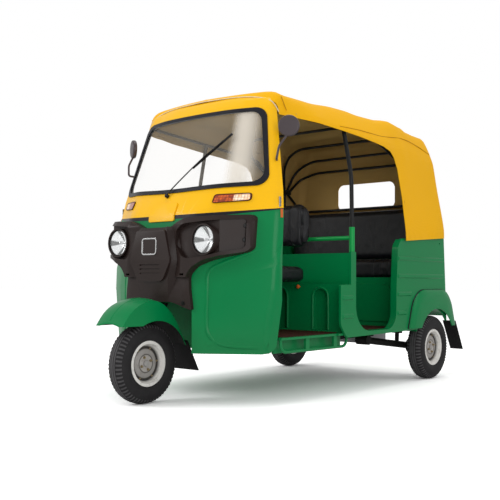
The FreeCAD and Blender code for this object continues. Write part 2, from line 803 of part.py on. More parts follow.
def door_room(grow):
    """The passenger doorway as a prism across the vehicle, grown all round by grow."""
    front, rear, sill = s.door_front_y - grow, s.door_rear_y + grow, s.door_bottom - grow
    points = [(500, front, 1200), (500, front, sill), (500, rear - 4, sill),
              (500, rear, s.tub_bottom + 280), (500, rear + 20, s.tub_front_top - 44),
              (500, rear + 70, s.tub_front_top + 2), (500, rear + 70, 1200)]
    return prism(rounded(points, [0, 150, 104, 60, 26, 26, 0]), Vector(300, 0, 0))


def rib(height, start, stop):
    """One pressed rib of the left tub side: a raised band with slanting edges."""
    skin, half = s.tub_half_width - 2, s.rib_height / 2
    low, high = [], []
    for x, draw in ((skin, 0), (skin + 2 + s.rib_proud, 9)):
        wire = rounded([(x, start + draw, height - half + draw), (x, stop - draw, height - half + draw),
                        (x, stop - draw, height + half - draw), (x, start + draw, height + half - draw)],
                       [7, 7, 7, 7])
        (low if draw else high).append(wire)
    return Part.makeLoft(high + low, True, True)


def tub_side():
    """The left side of the tub with its doorway, the jamb round it, its wheel arch and its ribs."""
    rear = s.tub_rear_y
    corners = [(s.tub_front_y, s.post_strip_top), (s.tub_front_y, s.tub_bottom + 74),
               (s.tub_front_y + 62, s.tub_bottom), (rear + 40, s.tub_bottom + 18),
               (rear, s.tub_top), (s.door_rear_y + 60, s.tub_front_top),
               (s.door_front_y - 52, s.tub_front_top), (s.door_front_y - 52, s.post_strip_top)]
    inner_x = s.tub_half_width - s.tub_wall
    points = [(inner_x, y, z) for y, z in corners]
    side = prism(rounded(points, [8, 20, 20, 0, 20, 4, 4, 4]), Vector(s.tub_wall, 0, 0))
    strip_room = cuboid((500, s.tub_front_y - 10, s.partition_top + 6),
                        (700, s.door_front_y + 60, 1000))
    centre = Vector(0, rear_axle_y, axle_height)
    side = side.cut([door_room(0), strip_room,
                     Part.makeCylinder(s.arch_radius, 900, centre, Vector(1, 0, 0)),
                     rod((500, rear - 60, s.tub_top - 52), (700, rear - 60, s.tub_top - 52), 6)])
    jamb_x = inner_x - s.jamb_depth
    jamb = door_room(s.jamb_gauge).cut(door_room(0))
    jamb = jamb.common(cuboid((jamb_x, s.door_front_y - 20, s.floor_top),
                              (inner_x, s.door_front_y + 120, s.partition_top + 6)).fuse(
        cuboid((jamb_x, s.door_front_y + 120, s.floor_top), (inner_x, rear, s.tub_front_top - 4))))
    arch_start = Vector(s.tub_half_width - s.arch_depth, rear_axle_y, axle_height)
    arch = Part.makeCylinder(s.arch_radius + s.arch_wall, s.arch_depth, arch_start,
                             Vector(1, 0, 0))
    arch = arch.cut(Part.makeCylinder(s.arch_radius, s.arch_depth + 2, arch_start - Vector(1, 0, 0),
                                      Vector(1, 0, 0)))
    inner_wall = Part.makeCylinder(s.arch_radius + s.arch_wall, s.arch_wall,
                                   arch_start - Vector(s.arch_wall, 0, 0), Vector(1, 0, 0))
    above = cuboid((0, rear_axle_y - 300, s.tub_bottom), (900, s.tub_rear_y - s.tub_wall, 900))
    arch = arch.fuse(inner_wall).common(above)
    ribs = [rib(height, start, stop) for height, start, stop in
            ((782, s.door_rear_y + 16, rear - 6), (672, s.door_rear_y + 14, rear - 6),
             (560, s.door_rear_y + 10, s.door_rear_y + 190),
             (444, s.door_rear_y + 8, s.door_rear_y + 130),
             (544, s.tub_front_y + 14, s.tub_front_y + 130),
             (440, s.tub_front_y + 14, s.tub_front_y + 130))]
    return side.fuse([arch, jamb] + ribs)


def flare_form(outer_x, inset, lip_x):
    """A bulging solid over the wheel arch, from the tub's side out to its lip."""
    y, foot, top = rear_axle_y, s.flare_foot, s.flare_top
    rows = []
    roll = s.flare_roll
    for share, draw in ((0, 0), (0.45, roll * 0.1), (0.8, roll * 0.42), (1, roll)):
        x = outer_x + (lip_x - outer_x) * share
        draw += inset
        points = [(x, y - 344 + draw, foot), (x, y - 262 + draw * 0.8, top - draw),
                  (x, y + 207 - draw * 0.8, top - draw), (x, y + 291 - draw, foot)]
        rows.append(rounded(points, [0, 130, 110, 0]))
    return Part.makeLoft(rows, True, True)


def flare():
    """The flared lip round the left rear wheel arch."""
    seat = s.tub_half_width + s.fit / 3
    lip = s.tub_half_width + s.flare_proud
    outer = flare_form(seat, 0, lip)
    hollow = flare_form(seat - 1, s.flare_wall, lip - s.flare_wall)
    mouth = Part.makeCylinder(s.arch_radius, 200, Vector(seat - 20, rear_axle_y, axle_height),
                              Vector(1, 0, 0))
    return outer.cut(hollow).cut(mouth)


for label, side in (("left", 0), ("right", 1)):
    feature("tub_side_" + label, both_sides(tub_side())[side])
    feature("flare_" + label, both_sides(flare())[side])


def hinge_barrels(start, stop):
    """Both hinge barrels of the engine lid between two distances from the middle."""
    line_y, line_z = s.tub_rear_y + s.hinge_radius + 0.5, s.lid_top + 4
    return [rod((side * start, line_y, line_z), (side * stop, line_y, line_z), s.hinge_radius)
            for side in (1, -1)]


def tub_rear():
    """The rear panel with its engine opening and the fixed half of the lid's hinges."""
    inner = s.tub_half_width - s.tub_wall
    panel = cuboid((-inner, s.tub_rear_y - s.tub_wall, s.tub_bottom + 18),
                   (inner, s.tub_rear_y, s.tub_top))
    hole = cuboid((-s.lid_half_width - s.lid_gap, s.tub_rear_y - 60, s.lid_bottom - s.lid_gap),
                  (s.lid_half_width + s.lid_gap, s.tub_rear_y + 60, s.lid_top + s.lid_gap))
    shelf_y = s.bench_front_y + s.bench_length + s.bench_back_gauge + 1 + s.fit
    shelf = cuboid((-inner, shelf_y, s.tub_top - 12), (inner, s.tub_rear_y - s.tub_wall, s.tub_top))
    leaves = [cuboid((x, s.tub_rear_y, s.lid_top + 4), (x + 50, s.tub_rear_y + 3, s.lid_top + 34))
              for x in (200, -250)]
    arches = [Part.makeCylinder(s.arch_radius, 200,
                                Vector(side * (s.tub_half_width - s.arch_depth - s.arch_wall),
                                       rear_axle_y, axle_height), Vector(side, 0, 0))
              for side in (1, -1)]
    return panel.cut([hole] + arches).fuse([shelf] + leaves + hinge_barrels(200, 250))


def engine_lid():
    """The engine's rear lid, with louvres, hinged along its top edge."""
    low = (-s.lid_half_width, s.tub_rear_y - s.lid_gauge, s.lid_bottom)
    high = (s.lid_half_width, s.tub_rear_y, s.lid_top)
    lid = cuboid(low, high)
    for column in (-190, 190):
        for row in range(4):
            height = s.lid_bottom + 90 + row * 42
            slot = cuboid((column - 90, s.tub_rear_y - 60, height),
                          (column + 90, s.tub_rear_y + 60, height + 14))
            lid = lid.cut(slot)
    leaves = [cuboid((x, s.tub_rear_y, s.lid_top - 26), (x + 48, s.tub_rear_y + 3, s.lid_top + 4))
              for x in (151, -199)]
    return lid.fuse(leaves + hinge_barrels(151, 199))


def tail_lamps():
    """The lamps at the tub's rear corners."""
    lamp = cuboid((470, s.tub_rear_y + s.fit / 3, 600), (570, s.tub_rear_y + 34, 780))
    lamp = lamp.makeFillet(10, [edge for edge in lamp.Edges if edge.BoundBox.YMin > s.tub_rear_y + 30])
    return Part.makeCompound(both_sides(lamp))


def rear_flaps():
    """The black flaps that hang behind the rear wheels."""
    top_y = rear_axle_y + 284
    wire = polygon([(545, top_y - 4, 372), (545, top_y + 8, 372), (545, 1317.5, 172),
                    (545, 1309, 170)])
    return Part.makeCompound(both_sides(prism(wire, Vector(92, 0, 0))))


feature("tub_rear", tub_rear())
feature("engine_lid", engine_lid())
feature("tail_lamps", tail_lamps())
feature("rear_flaps", rear_flaps())


# Posts, hood bows and canopy


def grab_rail():
    """The green rail across the vehicle behind the driver, with the sockets of the posts."""
    sockets = []
    for side in (1, -1):
        foot = (side * s.post_base_x, s.post_y, s.partition_top + 6)
        head = (side * s.post_base_x, s.post_y, s.partition_top + 148)
        sockets.append(rod(foot, head, s.post_radius + 4))
    rail = rod((-s.post_base_x, s.post_y, s.rail_height), (s.post_base_x, s.post_y, s.rail_height),
               12)
    return rail.fuse(sockets)


def hood_frame():
    """The black tubes: two posts, the side rails, the bows, the pivot plates and the rear rail."""
    x, y, z = s.bow_pivot_x, s.bow_pivot_y, s.bow_pivot_height
    rail_top = s.hood_hem + 20
    foot_x = s.tub_half_width - s.tub_wall - s.bow_radius - s.fit
    pieces = []
    for side in (1, -1):
        pieces.append(tube([(side * s.post_base_x, s.post_y, s.partition_top + 149),
                            (side * (s.post_base_x - 4), s.post_y, s.post_top_height - 250),
                            (side * s.post_top_x, s.post_y, rail_top)], s.post_radius, 60))
        pieces.append(tube([(side * (s.header_half_width - 42), s.door_edge_y + 102, rail_top + 16),
                            (side * (s.post_top_x - 24), s.post_y, rail_top),
                            (side * (s.post_top_x - 24), s.post_y + 500, rail_top - 34),
                            (side * x, y - 56, z)], s.bow_radius, 60))
        pieces.append(tube([(side * foot_x, y, s.tub_front_top), (side * (foot_x - 8), y, s.tub_top + 46),
                            (side * (foot_x - 34), y, z - 120), (side * x, y, z)], s.bow_radius, 20))
        pivot_plate = cuboid((side * x - s.bow_radius - 3, y - 76, z - 14),
                             (side * x + s.bow_radius + 3, y + 62, z + 14))
        ends = [edge for edge in pivot_plate.Edges
                if edge.BoundBox.XLength > s.bow_radius and edge.BoundBox.YLength < 1]
        pieces.append(pivot_plate.makeFillet(12, ends))
    for start, place, height in ((-30, 214, 1590), (-6, 742, 1596), (18, 930, 1530),
                                 (42, 1006, 1452)):
        knee_y = y + start + (place - y - start) * 0.7
        knee_z = z + (height - z) * 0.7
        bend = min(s.bow_bend, (height - z) * 0.3)
        pieces.append(tube([(-x, y + start, z), (-x + 40, knee_y, knee_z),
                            (-x + 170, place, height), (x - 170, place, height),
                            (x - 40, knee_y, knee_z), (x, y + start, z)], s.bow_radius, bend))
    rear = s.bench_front_y + s.bench_length + s.bench_back_gauge + 22
    rail_z = bench_back_top + 14
    pieces.append(tube([(-x, y + 30, z - 4), (-x + 10, rear, rail_z), (x - 10, rear, rail_z),
                        (x, y + 30, z - 4)], s.bow_radius, 60))
    return pieces[0].fuse(pieces[1:])


def hood_sections():
    """Half sections of the canvas: place along the vehicle, crown, shoulder, side, knee and base."""
    front_y, rear_y = s.hood_front_y, s.hood_rear_y
    base = s.tub_half_width + s.rib_proud + s.hood_wall + 0.6
    crown, lead, hem = s.hood_crown, s.hood_front_crown, s.hood_hem
    rows = (
        (front_y, lead, (498, lead - 13), (508, hem + 20), 540),
        (-520, lead - 8, (503, lead - 28), (530, hem + 12), 560),
        (-300, lead - 7, (508, lead - 28), (568, hem + 4), 600),
        (60, crown - 16, (512, crown - 36), (588, hem - 18), base - 4),
        (380, crown - 22, (512, crown - 42), (586, hem - 38), base),
        (560, crown, (510, crown - 24), (578, hem - 50), base),
        (720, crown - 14, (508, crown - 40), (572, hem - 62), base),
        (800, crown - 38, (504, crown - 60), (570, hem - 72), base),
        (rear_y - 50, crown - 44, (480, crown - 67), (566, hem - 87), base),
        (rear_y, crown - 62, (460, crown - 88), (553, hem - 97), base),
    )
    sections = []
    for y, top, shoulder, side, wide in rows:
        share = max(0.0, (y - s.hood_quarter_y) / (rear_y - s.hood_quarter_y))
        foot = s.hood_belt + s.hood_belt_rise * share
        sections.append((y, [(0, top), shoulder, side, (wide, foot + 40), (wide, foot)]))
    return sections


def hood_solid(inset):
    """The solid under the canvas, drawn in by inset at the sides, top and rear."""
    wires = []
    sections = hood_sections()
    for index, (y, half) in enumerate(sections):
        if inset and index == 0:
            y -= 5
        if inset and index == len(sections) - 1:
            y -= inset
        drawn = [(x - (inset if x else 0), z - inset if z > s.hood_hem + 40 else z) for x, z in half]
        if inset:
            drawn[-1] = (drawn[-1][0], drawn[-1][1] - 5)
        right = [(x, y, z) for x, z in drawn]
        left = [(-x, y, z) for x, z in reversed(drawn[1:])]
        wires.append(rounded(left + right, [0, 10, 24, 60, 200, 60, 24, 10, 0]))
    return Part.makeLoft(wires, True, True)


def canopy():
    """The yellow canvas hood, open at the front and sides, with its rear window cut."""
    shell = hood_solid(0).cut(hood_solid(s.hood_wall))
    belt = s.hood_belt
    quarter = s.hood_quarter_y
    side = rounded([(-900, s.hood_front_y - 60, belt - 40), (-900, quarter + 2, belt - 40),
                    (-900, quarter + 30, belt + 255), (-900, quarter + 14, belt + 455),
                    (-900, quarter - 36, s.hood_hem - 60), (-900, quarter - 293, s.hood_hem - 21),
                    (-900, -164, s.hood_hem + 2), (-900, s.hood_front_y - 60, s.hood_hem + 12)],
                   [0, 0, 40, 30, 30, 60, 60, 0])
    shell = shell.cut(prism(side, Vector(1800, 0, 0)))
    half, front = s.rear_window_half_width, s.hood_rear_y - 200
    window = rounded([(-half, front, s.rear_window_bottom), (half, front, s.rear_window_bottom),
                      (half, front, s.rear_window_top), (-half, front, s.rear_window_top)],
                     [40, 40, 60, 60])
    shell = shell.cut(prism(window, Vector(0, 400, 0)))
    tub_room = cuboid((-s.tub_half_width - s.fit, s.tub_front_y, s.tub_bottom),
                      (s.tub_half_width + s.fit, s.tub_rear_y + 3, s.tub_top + s.fit))
    shell = shell.cut([cab_solid(-s.fit, back=6), tub_room])
    return max(shell.Solids, key=lambda piece: piece.Volume)


feature("grab_rail", grab_rail())
feature("hood_frame", hood_frame())
feature("canopy", canopy())


# Seats


def cushion(low, high, radius):
    """A plain closed pad with rounded edges."""
    pad = cuboid(low, high)
    return pad.makeFillet(radius, pad.Edges)


feature("driver_cushion", cushion(
    (-s.seat_half_width, s.seat_front_y, s.seat_height),
    (s.seat_half_width, s.seat_front_y + s.seat_length, s.seat_height + s.seat_pad), 22))
feature("driver_backrest", cushion(
    (-s.back_half_width, s.post_y - 12.3 - s.back_gauge, s.back_bottom),
    (s.back_half_width, s.post_y - 12.3, s.back_bottom + s.back_height), 22))
feature("bench_cushion", cushion(
    (-s.bench_half_width + 76, s.bench_front_y, s.bench_height),
    (s.bench_half_width - 76, s.bench_front_y + s.bench_length, s.bench_height + s.bench_pad), 26))
feature("bench_backrest", cushion(
    (-s.bench_half_width, s.bench_front_y + s.bench_length + 1, s.bench_height + s.bench_pad),
    (s.bench_half_width, s.bench_front_y + s.bench_length + 1 + s.bench_back_gauge,
     bench_back_top), 26))


# Chassis, engine and rear suspension


def chassis():
    """The frame under the floor, the headstock and the tubes that carry the suspension."""
    top = s.floor_top - s.floor_gauge
    low = top - s.chassis_rail_height
    bars = []
    for side in (1, -1):
        inner = side * s.rail_x - s.chassis_rail_width / 2
        bars.append(cuboid((inner, s.door_edge_y + 10, low),
                           (inner + s.chassis_rail_width, s.engine_front_y, top)))
        bars.append(tube([(side * s.rail_x, s.engine_front_y - 20, low + 20),
                          (side * (s.rail_x - 10), s.engine_front_y - 20, spring_top - 70),
                          (side * (s.spring_x - 90), rear_axle_y - 76, spring_top + 22)], 16, 50))
    for place, half in ((s.door_edge_y + 30, s.rail_x), (s.partition_y - 60, s.rail_x),
                        (s.arm_pivot_y - 22, s.arm_pivot_x - 42),
                        (s.engine_front_y - 44, s.rail_x)):
        bars.append(cuboid((-half, place, low + 4), (half, place + 44, top - 4)))
    bars.append(rod((-s.spring_x - 40, rear_axle_y - 70, spring_top + 16 + s.fit),
                    (s.spring_x + 40, rear_axle_y - 70, spring_top + 16 + s.fit), 16))
    stock = rod(on_steer_axis(s.headstock_bottom), on_steer_axis(s.headstock_top),
                s.headstock_radius)
    spine = tube([tuple(on_steer_axis(730) + Vector(0, 22, 0)), (0, s.door_edge_y + 44, 640),
                  (0, s.door_edge_y + 44, s.floor_top)], 20, 60)
    frame = bars[0].fuse(bars[1:] + [spine, stock])
    tie = rod((-s.rail_x - 60, s.tie_down_y, low + s.chassis_rail_height / 2),
              (s.rail_x + 60, s.tie_down_y, low + s.chassis_rail_height / 2), s.tie_down_radius)
    column = rod(on_steer_axis(500), on_steer_axis(950), s.column_radius + s.fit)
    return frame.cut([tie, column])


def trailing_arms():
    """The rear arms from their cross pivots to the stub axles."""
    pieces = []
    pivot = Vector(s.arm_pivot_x, s.arm_pivot_y, s.arm_pivot_height)
    end = Vector(s.arm_end_x, rear_axle_y, axle_height)
    bar = rod(pivot, end, s.arm_radius)
    sleeve = rod(pivot - Vector(42, 0, 0), pivot + Vector(42, 0, 0), s.arm_radius + 8)
    carrier = rod(end - Vector(16, 0, 0), end + Vector(26, 0, 0), 46)
    stub = rod(end, (rear_wheel_x + 24, rear_axle_y, axle_height), s.stub_radius)
    arm = bar.fuse([sleeve, carrier, stub])
    return Part.makeCompound(both_sides(arm))


def suspension():
    """Coil springs over dampers between the arms and the body."""
    foot = Vector(s.spring_x, rear_axle_y - 96, axle_height + 26)
    head = Vector(s.spring_x, rear_axle_y - 70, spring_top)
    line = (head - foot).normalize()
    rodded = rod(foot, head, s.damper_radius)
    coil = rod(foot + line * 60, head - line * 40, s.spring_radius)
    return Part.makeCompound(both_sides(rodded.fuse(coil)))


feature("chassis_frame", chassis())
feature("trailing_arms", trailing_arms())
feature("suspension_units", suspension())
block("engine", "engine_width", "engine_length", "bench_height - engine_drop - engine_bottom", PY="engine_front_y",
      PZ="engine_bottom")

# Steered pieces


def handlebar():
    """The steering column, its swept bar with grips, and the instrument pod."""
    base, top = on_steer_axis(s.column_bottom), on_steer_axis(s.column_top)
    column = rod(base, top, s.column_radius)
    end_y = top.y + s.bar_sweep
    half = s.bar_half_width
    bar = tube([(-half, end_y, top.z + 8), (-half + 120, end_y - 20, top.z + 8),
                (-70, top.y, top.z), (70, top.y, top.z), (half - 120, end_y - 20, top.z + 8),
                (half, end_y, top.z + 8)], s.bar_radius, 36)
    pieces = [bar]
    for side in (1, -1):
        pieces.append(rod((side * half, end_y, top.z + 8),
                          (side * (half - 112), end_y - 18, top.z + 8), s.grip_radius))
    pod = cuboid((-85, top.y - 50, top.z - 14), (85, top.y + 40, top.z + 50))
    pod = pod.makeFillet(16, [edge for edge in pod.Edges if edge.BoundBox.ZMin > top.z + 10])
    return column.fuse(pieces + [pod])


def fork_leg(radius):
    """The curved leg from the steering column to the axle, on one side of the wheel."""
    knee = on_steer_axis(s.column_bottom)
    offset = -s.fork_offset
    return tube([tuple(knee), tuple(knee - steer_axis * 36), (offset, knee.y - 22, knee.z - 72),
                 (offset, s.front_axle_y + 62, 258), (offset, s.front_axle_y, axle_height)],
                radius, 26)


def fork():
    """The single-sided fork: its leg and the stub axle."""
    stub = rod((-s.fork_offset - 16, s.front_axle_y, axle_height), (24, s.front_axle_y, axle_height),
               s.stub_radius)
    return fork_leg(s.fork_radius).fuse([stub])


def guard_path():
    """The crest of the mudguard from its front lip over the tyre to its rear end."""
    front, peak = s.front_axle_y, s.guard_peak
    return [(0, front - 258, peak - 178), (0, front - 170, peak - 60), (0, front - 4, peak),
            (0, front + 128, peak - 98), (0, front + 222, peak - 262)]


def guard_solid(grow):
    """The solid under the mudguard's skin, drawn in by grow."""
    corners = guard_path()
    path = rounded(corners, [0, 70, 90, 70, 0], closed=False)
    half = s.guard_half_width - grow
    start = Vector(*corners[0])
    along = (Vector(*corners[1]) - start).normalize()
    inward = Vector(0, along.z, -along.y)
    if inward.z > 0:
        inward = -inward
    side = Vector(1, 0, 0)
    crest = start + inward * grow
    edge = start + inward * (s.guard_crown + grow)
    low = start + inward * (s.guard_skirt + (8 if grow else 0))
    wire = Part.Wire([
        Part.LineSegment(low - side * half, edge - side * (half - 10)).toShape(),
        Part.Arc(edge - side * (half - 10), crest, edge + side * (half - 10)).toShape(),
        Part.LineSegment(edge + side * (half - 10), low + side * half).toShape(),
        Part.LineSegment(low + side * half, low - side * half).toShape()])
    return path.makePipeShell([wire], True, False)


def front_mudguard():
    """The steered mudguard: a crowned arch whose skirts follow the tyre."""
    guard = guard_solid(0).cut(guard_solid(s.guard_wall))
    axle = Vector(-300, s.front_axle_y, axle_height)
    guard = guard.cut(Part.makeCylinder(s.guard_skirt_radius, 600, axle, Vector(1, 0, 0)))
    front = cuboid((-300, s.front_axle_y - 500, 0), (300, s.front_axle_y - 44, s.guard_front_height))
    guard = guard.cut(front)
    guard = guard.cut(cuboid((-300, -1500, 0), (300, s.front_axle_y - 230, 900)))
    knee = on_steer_axis(s.column_bottom)
    hole = Part.makeCylinder(s.column_radius + s.fit, 140, knee, steer_axis)
    return guard.cut([hole, fork_leg(s.fork_radius + s.fit)])


def front_flap():
    """The black flap behind the front wheel, with one lower corner drawn out."""
    corners = guard_path()
    rear = Vector(*corners[-1])
    top = Vector(0, rear.y - 8, rear.z + 14)
    half = s.guard_half_width - s.guard_wall - 1
    low_z, low_y = top.z - s.flap_drop, top.y + s.flap_lean
    wire = polygon([(-half, top.y, top.z), (half, top.y, top.z), (half, low_y, low_z),
                    (-half, low_y, low_z)])
    return prism(wire, Vector(0, s.flap_gauge, s.flap_gauge * 0.5)).cut(guard_solid(0))


feature("handlebar", handlebar())
feature("fork", fork())
feature("front_mudguard", front_mudguard())
feature("front_flap", front_flap())

# Wheels
TYRE_STEPS = [
    ("-rim_half_width + rim_gauge + 0.2", "bead_radius + rim_gauge + 0.2"),
    ("-rim_half_width + rim_gauge + 0.2", "flange_radius + 2"),
    ("-tyre_width / 2", "(tyre_radius + flange_radius) / 2", "-tyre_width * 0.4",
     "tyre_radius - 20"),
    ("-tyre_width * 0.33", "tyre_radius - 8"),
    ("0", "tyre_radius", "tyre_width * 0.33", "tyre_radius - 8"),
    ("tyre_width * 0.4", "tyre_radius - 20"),
    ("tyre_width / 2", "(tyre_radius + flange_radius) / 2",
     "rim_half_width - rim_gauge - 0.2", "flange_radius + 2"),
    ("rim_half_width - rim_gauge - 0.2", "bead_radius + rim_gauge + 0.2"),
]
RIM_STEPS = [
    ("-rim_half_width", "flange_radius"),
    ("-rim_half_width + rim_gauge", "flange_radius"),
    ("-rim_half_width + rim_gauge", "bead_radius + rim_gauge"),
    ("rim_half_width - rim_gauge", "bead_radius + rim_gauge"),
    ("rim_half_width - rim_gauge", "flange_radius"),
    ("rim_half_width", "flange_radius"),
    ("rim_half_width", "bead_radius"),
    ("14", "bead_radius - 14"),
    ("14", "drum_radius"),
    ("22", "drum_radius - 14"),
    ("22", "stub_radius + fit"),
    ("-26", "stub_radius + fit"),
    ("-26", "drum_radius"),
    ("6", "drum_radius"),
    ("6", "bead_radius - 14"),
    ("-rim_half_width", "bead_radius"),
]
for place, across in (("front", "0"), ("rear_left", "rear_track / 2"),
                      ("rear_right", "-rear_track / 2")):
    along = "front_axle_y" if place == "front" else "front_axle_y + wheelbase"
    turned(place + "_tyre", TYRE_STEPS, PX=across, PY=along, PZ="tyre_radius")
    turned(place + "_rim", RIM_STEPS, PX=across, PY=along, PZ="tyre_radius")


PIECE_TYPES = ("PartDesign::Body", "Part::Feature", "Part::Box")


def write_parts():
    """Check every object, and then write each piece to its own file."""
    doc.recompute()
    faults = [item.Label for item in doc.Objects
              if "Invalid" in item.State or "Error" in item.State]
    pieces = [item for item in doc.Objects if item.TypeId in PIECE_TYPES]
    for piece in pieces:
        if piece.Shape.isNull() or not piece.Shape.isValid():
            faults.append(piece.Label)
    if faults:
        raise RuntimeError("faulty pieces: " + ", ".join(faults))
    os.makedirs("parts", exist_ok=True)
    for piece in pieces:
        piece.Shape.exportStep(os.path.join("parts", piece.Label + ".step"))


write_parts()
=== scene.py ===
"""Auto rickshaw: the looks built round its fixed frame, with a plain studio and the camera."""
import logging
import math
from dataclasses import dataclass, field
from enum import Enum
from typing import Callable, Sequence

import bmesh
import bpy
from mathutils import Matrix, Vector, noise
from mathutils.bvhtree import BVHTree


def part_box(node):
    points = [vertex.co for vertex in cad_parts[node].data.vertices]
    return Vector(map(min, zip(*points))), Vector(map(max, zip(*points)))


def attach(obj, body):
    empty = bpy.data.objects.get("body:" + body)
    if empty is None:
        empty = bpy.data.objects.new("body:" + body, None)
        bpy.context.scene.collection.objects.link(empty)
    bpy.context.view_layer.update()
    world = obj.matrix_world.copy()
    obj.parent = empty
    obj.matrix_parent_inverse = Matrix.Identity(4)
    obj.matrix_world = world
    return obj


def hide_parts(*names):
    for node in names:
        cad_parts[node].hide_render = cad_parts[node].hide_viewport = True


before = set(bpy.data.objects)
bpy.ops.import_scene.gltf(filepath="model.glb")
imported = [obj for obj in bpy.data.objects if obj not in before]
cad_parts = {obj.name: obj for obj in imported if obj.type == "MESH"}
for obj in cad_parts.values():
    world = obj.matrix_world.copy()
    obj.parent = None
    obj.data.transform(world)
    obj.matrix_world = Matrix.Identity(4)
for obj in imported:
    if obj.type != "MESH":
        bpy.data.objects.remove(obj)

Point = tuple[float, float, float]
Colour = tuple[float, float, float, float]
Planes = list[tuple[Vector, Vector]]
# a place along an axis that no point of the vehicle reaches
NOWHERE = 9.0
# an edge that turns by more is rounded
SHARP = math.radians(35.0)
log = logging.getLogger("rickshaw")


def srgb(red: float, green: float, blue: float) -> Colour:
    """A colour given as it is seen, turned into the shader's linear values.

    Args:
        red: how much red is seen, from 0 to 1.
        green: how much green.
        blue: how much blue.

    Returns:
        The colour for a shader.
    """
    def linear(part: float) -> float:
        """One channel in linear light."""
        return part / 12.92 if part <= 0.04045 else ((part + 0.055) / 1.055) ** 2.4
    return (linear(red), linear(green), linear(blue), 1.0)


def between(low: float, high: float, share: float) -> float:
    """The value a share of the way from low to high."""
    return low + (high - low) * share


def smooth_step(low: float, high: float, value: float) -> float:
    """0 below low, 1 above high, and an eased rise between them."""
    share = min(1.0, max(0.0, (value - low) / (high - low)))
    return share * share * (3 - 2 * share)


# Shader maths


class Wave:
    """A shader socket that takes part in arithmetic."""

    def __init__(self, shader: "Shader", socket: bpy.types.NodeSocket) -> None:
        """Keep the socket and the shader that owns it."""
        self.shader = shader
        self.socket = socket

    def maths(self, operation: str, other: "float | Wave" = 0.0, third: float = 0.0) -> "Wave":
        """One Math node.

        Args:
            operation: the Math node's operation.
            other: its second value.
            third: its third value, where it has one.

        Returns:
            The node's result.
        """
        return self.shader.node("ShaderNodeMath", {"operation": operation},
                                {0: self, 1: other, 2: third})

    def __add__(self, other: "float | Wave") -> "Wave":
        """The sum."""
        return self.maths("ADD", other)

    def __sub__(self, other: "float | Wave") -> "Wave":
        """The difference."""
        return self.maths("SUBTRACT", other)

    def __rsub__(self, other: float) -> "Wave":
        """A number less this value."""
        return self.maths("MULTIPLY", -1.0).maths("ADD", other)

    def __mul__(self, other: "float | Wave") -> "Wave":
        """The product."""
        return self.maths("MULTIPLY", other)

    __radd__ = __add__
    __rmul__ = __mul__

    def __truediv__(self, other: "float | Wave") -> "Wave":
        """The quotient."""
        return self.maths("DIVIDE", other)

    def size(self) -> "Wave":
        """The value without its sign."""
        return self.maths("ABSOLUTE")

    def step(self, low: float, high: float) -> "Wave":
        """0 below low, 1 above high, eased between; low may be the higher one.

        Args:
            low: where the rise starts.
            high: where it ends; low may be the higher one.

        Returns:
            The eased value.
        """
        settings = {"interpolation_type": "SMOOTHSTEP"}
        if low > high:
            return 1 - self.shader.node("ShaderNodeMapRange", settings, {0: self, 1: high, 2: low})
        return self.shader.node("ShaderNodeMapRange", settings, {0: self, 1: low, 2: high})


